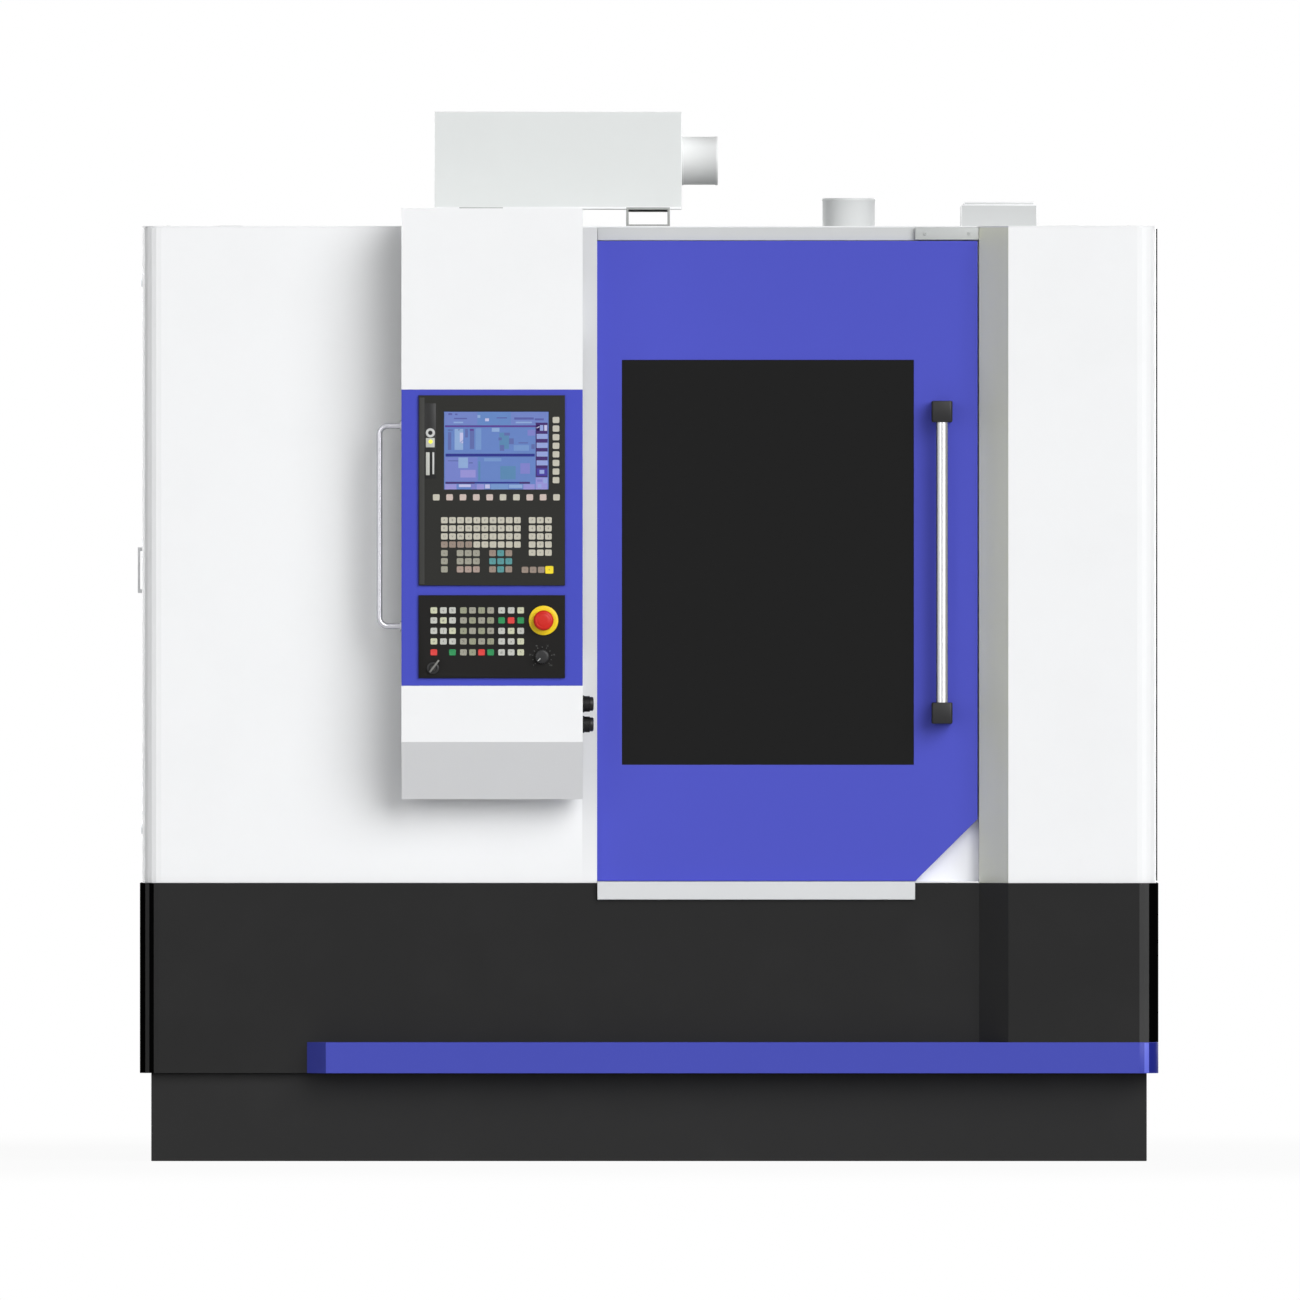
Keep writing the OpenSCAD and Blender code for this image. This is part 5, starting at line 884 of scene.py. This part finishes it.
# Rear side: grille, locks and cable glands
fittings = bmesh.new()
rear = sides["rear"]
grille(fittings, (610, rear, 1660), (460, 300), 1, 1, 14, looks=(0, 2))
for x in (262, 958):
    for z in (1100, 1860):
        turnLock(fittings, (x, rear, z), 1, 1)
addBox(fittings, (800, rear - 0.4, 640), (980, rear + 3, 730), 1, 1.2)
for start, end, count in (
        ((812, rear + 3, 652), (968, rear + 3, 652), 3), ((812, rear + 3, 718), (968, rear + 3, 718), 3),
        ((1004, rear, 620), (1004, rear, 1930), 7), ((210, rear, 1930), (1004, rear, 1930), 4)):
    screwsAlong(fittings, start, end, count, 1, 1, index=1)
for x, r in ((840, 15), (890, 19), (942, 12)):
    addTurned(fittings, [(0, 9), (r * 0.5, 9), (r * 0.55, 24), (r * 0.8, 24), (r, 19), (r, 8), (r * 0.9, 7),
                         (r * 1.1, 6), (r * 1.1, 0)], (x, rear + 2.6, 685), (0, 1, 0), 24, 2)
makePiece("rear_fittings", fittings, ["white_paint", "zinc_sheet", "black_plastic"], "machine_frame", sharp=40)

# Cabinet doors: grilles, locks and the main switch
mainSwitch = dict(x=-560, z=1250, plate=42)
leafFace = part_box("cabinet_door_left")[0].y / mm + 20.0
for nodeName, middleX, lockX in (("cabinet_door_left", -719, -452), ("cabinet_door_right", -121, -388)):
    leaf = bmesh.new()
    for z in (1720, 760):
        grille(leaf, (middleX, leafFace, z), (230, 230), 1, 1, 10, rise=7.0)
    for z in (700, 1790):
        turnLock(leaf, (lockX, leafFace, z), 1, 1, looks=(2, 1))
    if nodeName == "cabinet_door_left":
        at, half = Vector((mainSwitch["x"], leafFace, mainSwitch["z"])), mainSwitch["plate"]
        addBox(leaf, at + Vector((-half, -0.4, -half)), at + Vector((half, 5, half)), 3, 2.4)
        addTurned(leaf, [(0, 26), (22, 26), (25, 22), (28, 7), (30, 6), (30, 4)], at, (0, 1, 0), 40, 4)
        addBox(leaf, at + Vector((-7, 24, -27)), at + Vector((7, 36, 27)), 4, 2.5, 3)
    makePiece(nodeName + "_fittings", leaf, ["grey_paint", "black_plastic", "zinc_sheet", "stop_yellow", "stop_red"],
              bodyOf[nodeName], sharp=40)

# Roof: screws round the edge and along the joints, caps over the lifting points
fittings = bmesh.new()
roofTop = sides["roof"]
for x1, y1, x2, y2, count in ((-1000, 40, 1000, 40, 8), (-1000, 850, 1000, 850, 8), (-1010, 130, -1010, 770, 4),
                              (10, 130, 10, 770, 4), (1010, 130, 1010, 770, 4), (-1010, -700, -1010, -50, 4),
                              (1010, -700, 1010, -50, 4)):
    screwsAlong(fittings, (x1, y1, roofTop), (x2, y2, roofTop), count, 2, 1)
for x in (-880, 880):
    for y in (-600, -20):
        addTurned(fittings, [(0, 1.6), (8, 1.6), (9, 3), (24, 3), (28, 2.2), (29, 0)], (x, y, roofTop), (0, 0, 1), 36)
makePiece("roof_fittings", fittings, ["white_paint"], "machine_frame", sharp=40)

# Duct spigots: drawn tubes with a beaded end, one upright and one that looks sideways, with painted shade towards its
# underside and a painted highlight on its top
spigots = bmesh.new()
for low, high in solidsOf("duct_spigots"):
    size, start = high - low, (low + high) / 2
    along = 0 if abs(size.x - size.z) > 2 and size.z > size.x or size.x < size.y * 0.9 else 2
    r, length = size.y / 2, size[along]
    start[along] = low[along]
    outline = [(r - 3.5, 0), (r - 3.5, length), (r - 0.6, length), (r, length - 0.8), (r, length - 5),
               (r - 1.0, length - 6.5), (r - 1.0, 4), (r, 3), (r, 0), (r - 3.5, 0)]
    addTurned(spigots, outline, start, (1, 0, 0) if along == 0 else (0, 0, 1), 64, 1 if along == 0 else 0)
makePiece("beaded_spigots", spigots, ["spigotGrey", "spigotShade"], bodyOf["duct_spigots"], ["duct_spigots"],
          sharp=40)

# Collector: toggle latches of its service door, a filter gauge, screws and a pale strip along the lower front edge, a
# painted highlight
fittings = bmesh.new()
collectorLow, collectorHigh = inMm(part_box("mist_collector"))
back = collectorHigh.y
for x in (-330, -60):
    addBox(fittings, (x - 14, back - 0.4, 2150), (x + 14, back + 2, 2200), 0, 0.8)
    addBox(fittings, (x - 9, back, 2158), (x + 9, back + 11, 2196), 0, 2.4, 3)
addTurned(fittings, [(0, 12), (22, 12), (24, 14), (27, 14), (29, 11), (29, 0)], (-195, back, 2110), (0, 1, 0), 40)
screwsAlong(fittings, (-436, back, 2018), (50, back, 2018), 6, 1, 1, radius=4)
addBox(fittings, (collectorLow.x + 1, collectorLow.y + 0.2, collectorLow.z - 3.6),
       (collectorHigh.x - 1, collectorLow.y + 2.4, collectorLow.z + 3), 1, 0.7)
makePiece("collector_fittings", fittings, ["zinc_sheet", "white_paint"], "machine_frame", sharp=40)

# Lintel: cover plate over the post's head
fittings = bmesh.new()
lintelLow, lintelHigh = inMm(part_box("door_lintel"))
addBox(fittings, (559, lintelLow.y - 12, lintelLow.z + 1.5),
       (lintelHigh.x - 0.3, lintelLow.y - 0.3, lintelHigh.z - 0.4), 0, 1.0)
for x in (580, 672):
    addPlaced(fittings, screwHead(4, 2), against((x, lintelLow.y - 12, lintelLow.z + 14), 1, -1))
makePiece("lintel_head_plate", fittings, ["plateGrey"], "machine_frame")

# Chip conveyor: gear motor, bolted flanges, curtain in the mouth, foot bolts and a cover plate
conveyor = dict(left=420.0, right=720.0, mouthY=1292.0, motorAt=(720.0, 1205.0, 905.0), fins=22, strips=13)
fittings = bmesh.new()
for x, side in ((conveyor["left"], -1), (conveyor["right"], 1)):
    screwsAlong(fittings, (x, 990, 330), (x, 1262, 860), 7, 0, side, radius=6, height=4)
    screwsAlong(fittings, (x, 1130, 930), (x, 1270, 985), 2, 0, side, radius=6, height=4)
mx, my, mz = conveyor["motorAt"]
finned = [(r, 2 + 6 * k + d) for k in range(conveyor["fins"]) for r, d in ((38, 0), (43, 0.6), (43, 2.4), (38, 3.0))]
addBox(fittings, (mx - 0.5, my - 62, mz - 58), (mx + 12, my + 62, mz + 58), 1, 2)
addBox(fittings, (mx + 11, my - 50, mz - 48), (mx + 82, my + 50, mz + 48), 1, 9, 3)
addTurned(fittings, [(30, 0), (44, 2), (44, 10), (38, 12)], (mx + 47, my, mz - 44), (0, 0, -1), 36, 1)
addTurned(fittings, [(38, 0)] + finned + [(38, 136), (44, 138), (44, 176), (38, 182), (0, 182)],
          (mx + 47, my, mz - 56), (0, 0, -1), 36, 1)
addBox(fittings, (mx + 88, my - 26, mz - 150), (mx + 118, my + 26, mz - 90), 1, 4)
for x in (440, 700):
    for y in (1032, 1132):
        addPlaced(fittings, screwHead(9, 8), Matrix.Translation(spot(x, y, 11.6)))
for k in range(conveyor["strips"]):
    x, y = conveyor["left"] + 24 + 19.6 * k, conveyor["mouthY"]
    addBox(fittings, (x, y - 9.5, 912), (x + 18.4, y - 7, 979), 2, 0.6)
makePiece("conveyor_fittings", fittings, ["zinc_sheet", "painted_casting", "black_rubber"],
          bodyOf["chip_conveyor"], sharp=40)

# Work lamps under the roof: trough, glowing lens, end caps and screws
workLamp = dict(left=90.0, right=640.0, half=34.0, under=1960.0, drop=30.0, rows=(-760.0, -130.0))
fittings = bmesh.new()
x1, x2, half, under, drop = (workLamp[key] for key in ("left", "right", "half", "under", "drop"))
for y in workLamp["rows"]:
    addBox(fittings, (x1, y - half, under - 14), (x2, y + half, under + 0.3), 0, 3)
    addBox(fittings, (x1 + 12, y - half + 7, under - drop), (x2 - 12, y + half - 7, under - 10), 2, 12, 4)
    for x in (x1 - 6, x2 - 8):
        addBox(fittings, (x, y - half - 2, under - drop - 2), (x + 14, y + half + 2, under + 0.3), 1, 3)
        screwsAlong(fittings, (x + 7, y - 20, under - drop - 2), (x + 7, y + 20, under - drop - 2), 2, 2, -1,
                    radius=3.4, height=2)
makePiece("work_lamps", fittings, ["zinc_sheet", "black_plastic", "lampLens"], "machine_frame", sharp=40)

# Inside: clamp ring screws on the table, bolts on the tailstock's column and on the column below the slide's travel
tableRing = dict(x=227, y=-350, radius=226, screws=8)
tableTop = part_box("work_table")[1].z / mm
fittings = bmesh.new()
for i in range(tableRing["screws"]):
    angle = math.tau * (i + 0.5) / tableRing["screws"]
    x = tableRing["x"] + tableRing["radius"] * math.cos(angle)
    y = tableRing["y"] + tableRing["radius"] * math.sin(angle)
    addPlaced(fittings, screwHead(9, 6), Matrix.Translation(spot(x, y, tableTop - 0.3)))
makePiece("table_screws", fittings, ["ground_steel"], "work_table_body")
tailBolts, columnBolts = bmesh.new(), bmesh.new()
for y in (-470, -230):
    screwsAlong(tailBolts, (736, y, 1250), (736, y, 1700), 4, 0, -1, radius=10, height=8)
for y in (-620, -80):
    screwsAlong(columnBolts, (-420, y, 620), (-420, y, 880), 3, 0, 1, radius=8, height=6)
makePiece("tail_column_bolts", tailBolts, ["zinc_sheet"], "machine_frame")
makePiece("column_bolts", columnBolts, ["zinc_sheet"], "column_body")

# Inside the electric cabinet: covers and terminals on the drives, breakers on the rows, cable trunking between them
cabinetFit = dict(
    left=-900, right=60, drives=6, pitch=160, low=1385, high=1765, front=666, rowFront=556, rows=(780, 980, 1180),
    rowHigh=110, board=472, trunkDeep=62, trunkTeeth=63, toothStep=15,
    breakers=(18, 18, 18, 54, 36, 36, 72, 18, 18, 45, 45, 90))
fittings = bmesh.new()


def cabinetBlock(target, x, y, z, bevel, index):
    # x, y and z each give a start and an end
    addBox(target, *zip(x, y, z), index, bevel)


left, right, front, rowFront, board = (cabinetFit[key] for key in ("left", "right", "front", "rowFront", "board"))
low, high, trunkFront = cabinetFit["low"], cabinetFit["high"], board + cabinetFit["trunkDeep"]
for i in range(cabinetFit["drives"]):
    # how many, steps along X and Z, then x, y and z from a drive's corner, rounding and look
    start = left + i * cabinetFit["pitch"]
    for count, stepX, stepZ, x, y, z, bevel, index in (
            (1, 0, 0, (6, 134), (-0.4, 4), (low + 84, high - 6), 2.0, 1),
            (1, 0, 0, (40, 100), (3.6, 5), (high - 72, high - 40), 0.6, 0),
            (1, 0, 0, (44, 96), (4.8, 5.4), (high - 68, high - 44), 0.2, 3),
            (4, 13, 0, (46, 54), (3.6, 5.6), (high - 96, high - 88), 0.8, 0),
            (3, 0, -40, (30, 110), (3.6, 12), (high - 160, high - 132), 1.2, 0),
            (11, 11, 0, (10, 19.4), (-0.4, 14), (low + 44, low + 68), 1.0, 2),
            (6, 0, 6, (12, 128), (-0.4, 0.8), (low + 6, low + 8.4), 0.0, 1)):
        for k in range(count):
            cabinetBlock(fittings, [start + value + stepX * k for value in x], [front + value for value in y],
                         [value + stepZ * k for value in z], bevel, index)
widths = cabinetFit["breakers"]
for rowLow in cabinetFit["rows"]:
    middle, x, k = rowLow + cabinetFit["rowHigh"] / 2, left + 14, 0
    while x + (wide := widths[k % len(widths)]) < right - 14:
        face = rowFront + (40 if wide < 50 else 58)
        cabinetBlock(fittings, (x, x + wide - 0.8), (rowFront - 0.4, face - 14), (middle - 42, middle + 42), 1.2, 0)
        cabinetBlock(fittings, (x + 0.6, x + wide - 1.4), (face - 14.6, face), (middle - 22, middle + 22), 1.6, 0)
        leverX = x + wide / 2
        cabinetBlock(fittings, (leverX - 4, leverX + 4), (face - 0.6, face + 7), (middle - 3, middle + 9), 1.2,
                     1 if k % 3 else 4)
        x += wide
        k += 1
    cabinetBlock(fittings, (left, right), (board - 0.4, trunkFront), (rowLow - 62, rowLow - 22), 1.5, 5)
    for k in range(cabinetFit["trunkTeeth"]):
        x = left + 8 + cabinetFit["toothStep"] * k
        cabinetBlock(fittings, (x, x + 7), (board + 6, trunkFront - 6), (rowLow - 22.6, rowLow - 16), 0.0, 5)
makePiece("cabinet_devices", fittings, ["grey_paint", "black_plastic", "key_green", "screen_glass", "key_red",
                                        "driveGrey"], bodyOf["drive_units"], sharp=40)
print("side, rear, roof and inside fittings done")

# Camera, lamps and floor, in metres
studio = dict(lens=1500.0, distance=113.7, aim=(0.0021, -0.9, 1.073), ambient=0.055, floorWhite=0.94, floorTone=0.75,
              shadeReach=(2.0, 6.5), floorSize=80.0)
lamps = dict(  # direction towards the lamp, strength, softness in degrees
    key=((0.50, -0.77, 0.40), 2.50, 46), fill=((-0.48, -0.84, 0.20), 0.50, 32),
    rearLeft=((-0.60, 0.78, 0.12), 1.6, 40), rearRight=((0.42, 0.88, 0.12), 1.1, 40))
plainWhite = (1.0, 1.0, 1.0, 1.0)

camera = bpy.data.cameras.new("camera")
camera.lens = studio["lens"]
camera.sensor_width = 36.0
camera.clip_start = 10.0
camera.clip_end = 400.0
cameraHolder = bpy.data.objects.new("camera", camera)
cameraHolder.location = Vector(studio["aim"]) + Vector((0, -studio["distance"], 0))
cameraHolder.rotation_euler = (math.radians(90), 0, 0)
scene.collection.objects.link(cameraHolder)
scene.camera = cameraHolder

for lampName, (towards, strength, softness) in lamps.items():
    lamp = bpy.data.lights.new(lampName, "SUN")
    lamp.energy = strength
    lamp.angle = math.radians(softness)
    holder = bpy.data.objects.new(lampName, lamp)
    holder.rotation_mode = "QUATERNION"
    holder.rotation_quaternion = (-Vector(towards)).to_track_quat("-Z", "Y")
    holder.location = Vector(towards) * 6
    scene.collection.objects.link(holder)


def seenDirectly(tree):
    # 1 for rays that show the background itself, by eye, in gloss or through glass
    path = addNode(tree, "LightPath")
    first = addNode(tree, "Math", {0: path.outputs["Is Camera Ray"], 1: path.outputs["Is Glossy Ray"]},
                    operation="MAXIMUM")
    return addNode(tree, "Math", {0: first.outputs[0], 1: path.outputs["Is Transmission Ray"]},
                   operation="MAXIMUM").outputs[0]


world = bpy.data.worlds.new("world")
scene.world = world
worldTree = newTree(world)
ambient = addNode(worldTree, "Background", {"Color": plainWhite, "Strength": studio["ambient"]})
white = addNode(worldTree, "Background", {"Color": plainWhite, "Strength": 1.0})
either = addNode(worldTree, "MixShader", {0: seenDirectly(worldTree), 1: ambient.outputs[0], 2: white.outputs[0]})
addNode(worldTree, "OutputWorld", {"Surface": either.outputs[0]})

# The floor takes shade round the object and is plain white further out
floorMaterial = bpy.data.materials.new("studioFloor")
floorTree = newTree(floorMaterial)
matte = addNode(floorTree, "BsdfDiffuse", {"Color": (studio["floorTone"],) * 3 + (1.0,)})
bright = addNode(floorTree, "Emission", {"Color": plainWhite, "Strength": 1.0})
away = addNode(floorTree, "VectorMath", {0: objectPoints(floorTree)}, operation="LENGTH")
whiteness = spread(floorTree, away.outputs["Value"], *studio["shadeReach"], studio["floorWhite"], 1.0,
                   interpolation_type="SMOOTHSTEP")
share = addNode(floorTree, "Math", {0: seenDirectly(floorTree), 1: whiteness}, operation="MULTIPLY")
floorMix = addNode(floorTree, "MixShader", {0: share.outputs[0], 1: matte.outputs[0], 2: bright.outputs[0]})
addNode(floorTree, "OutputMaterial", {"Surface": floorMix.outputs[0]})

floorShape = bmesh.new()
bmesh.ops.create_grid(floorShape, x_segments=4, y_segments=4, size=studio["floorSize"])
floorMesh = bpy.data.meshes.new("floor")
floorShape.to_mesh(floorMesh)
floorShape.free()
floorMesh.materials.append(floorMaterial)
floor = bpy.data.objects.new("floor", floorMesh)
scene.collection.objects.link(floor)
scene.view_settings.view_transform = "Standard"
print("studio ready")
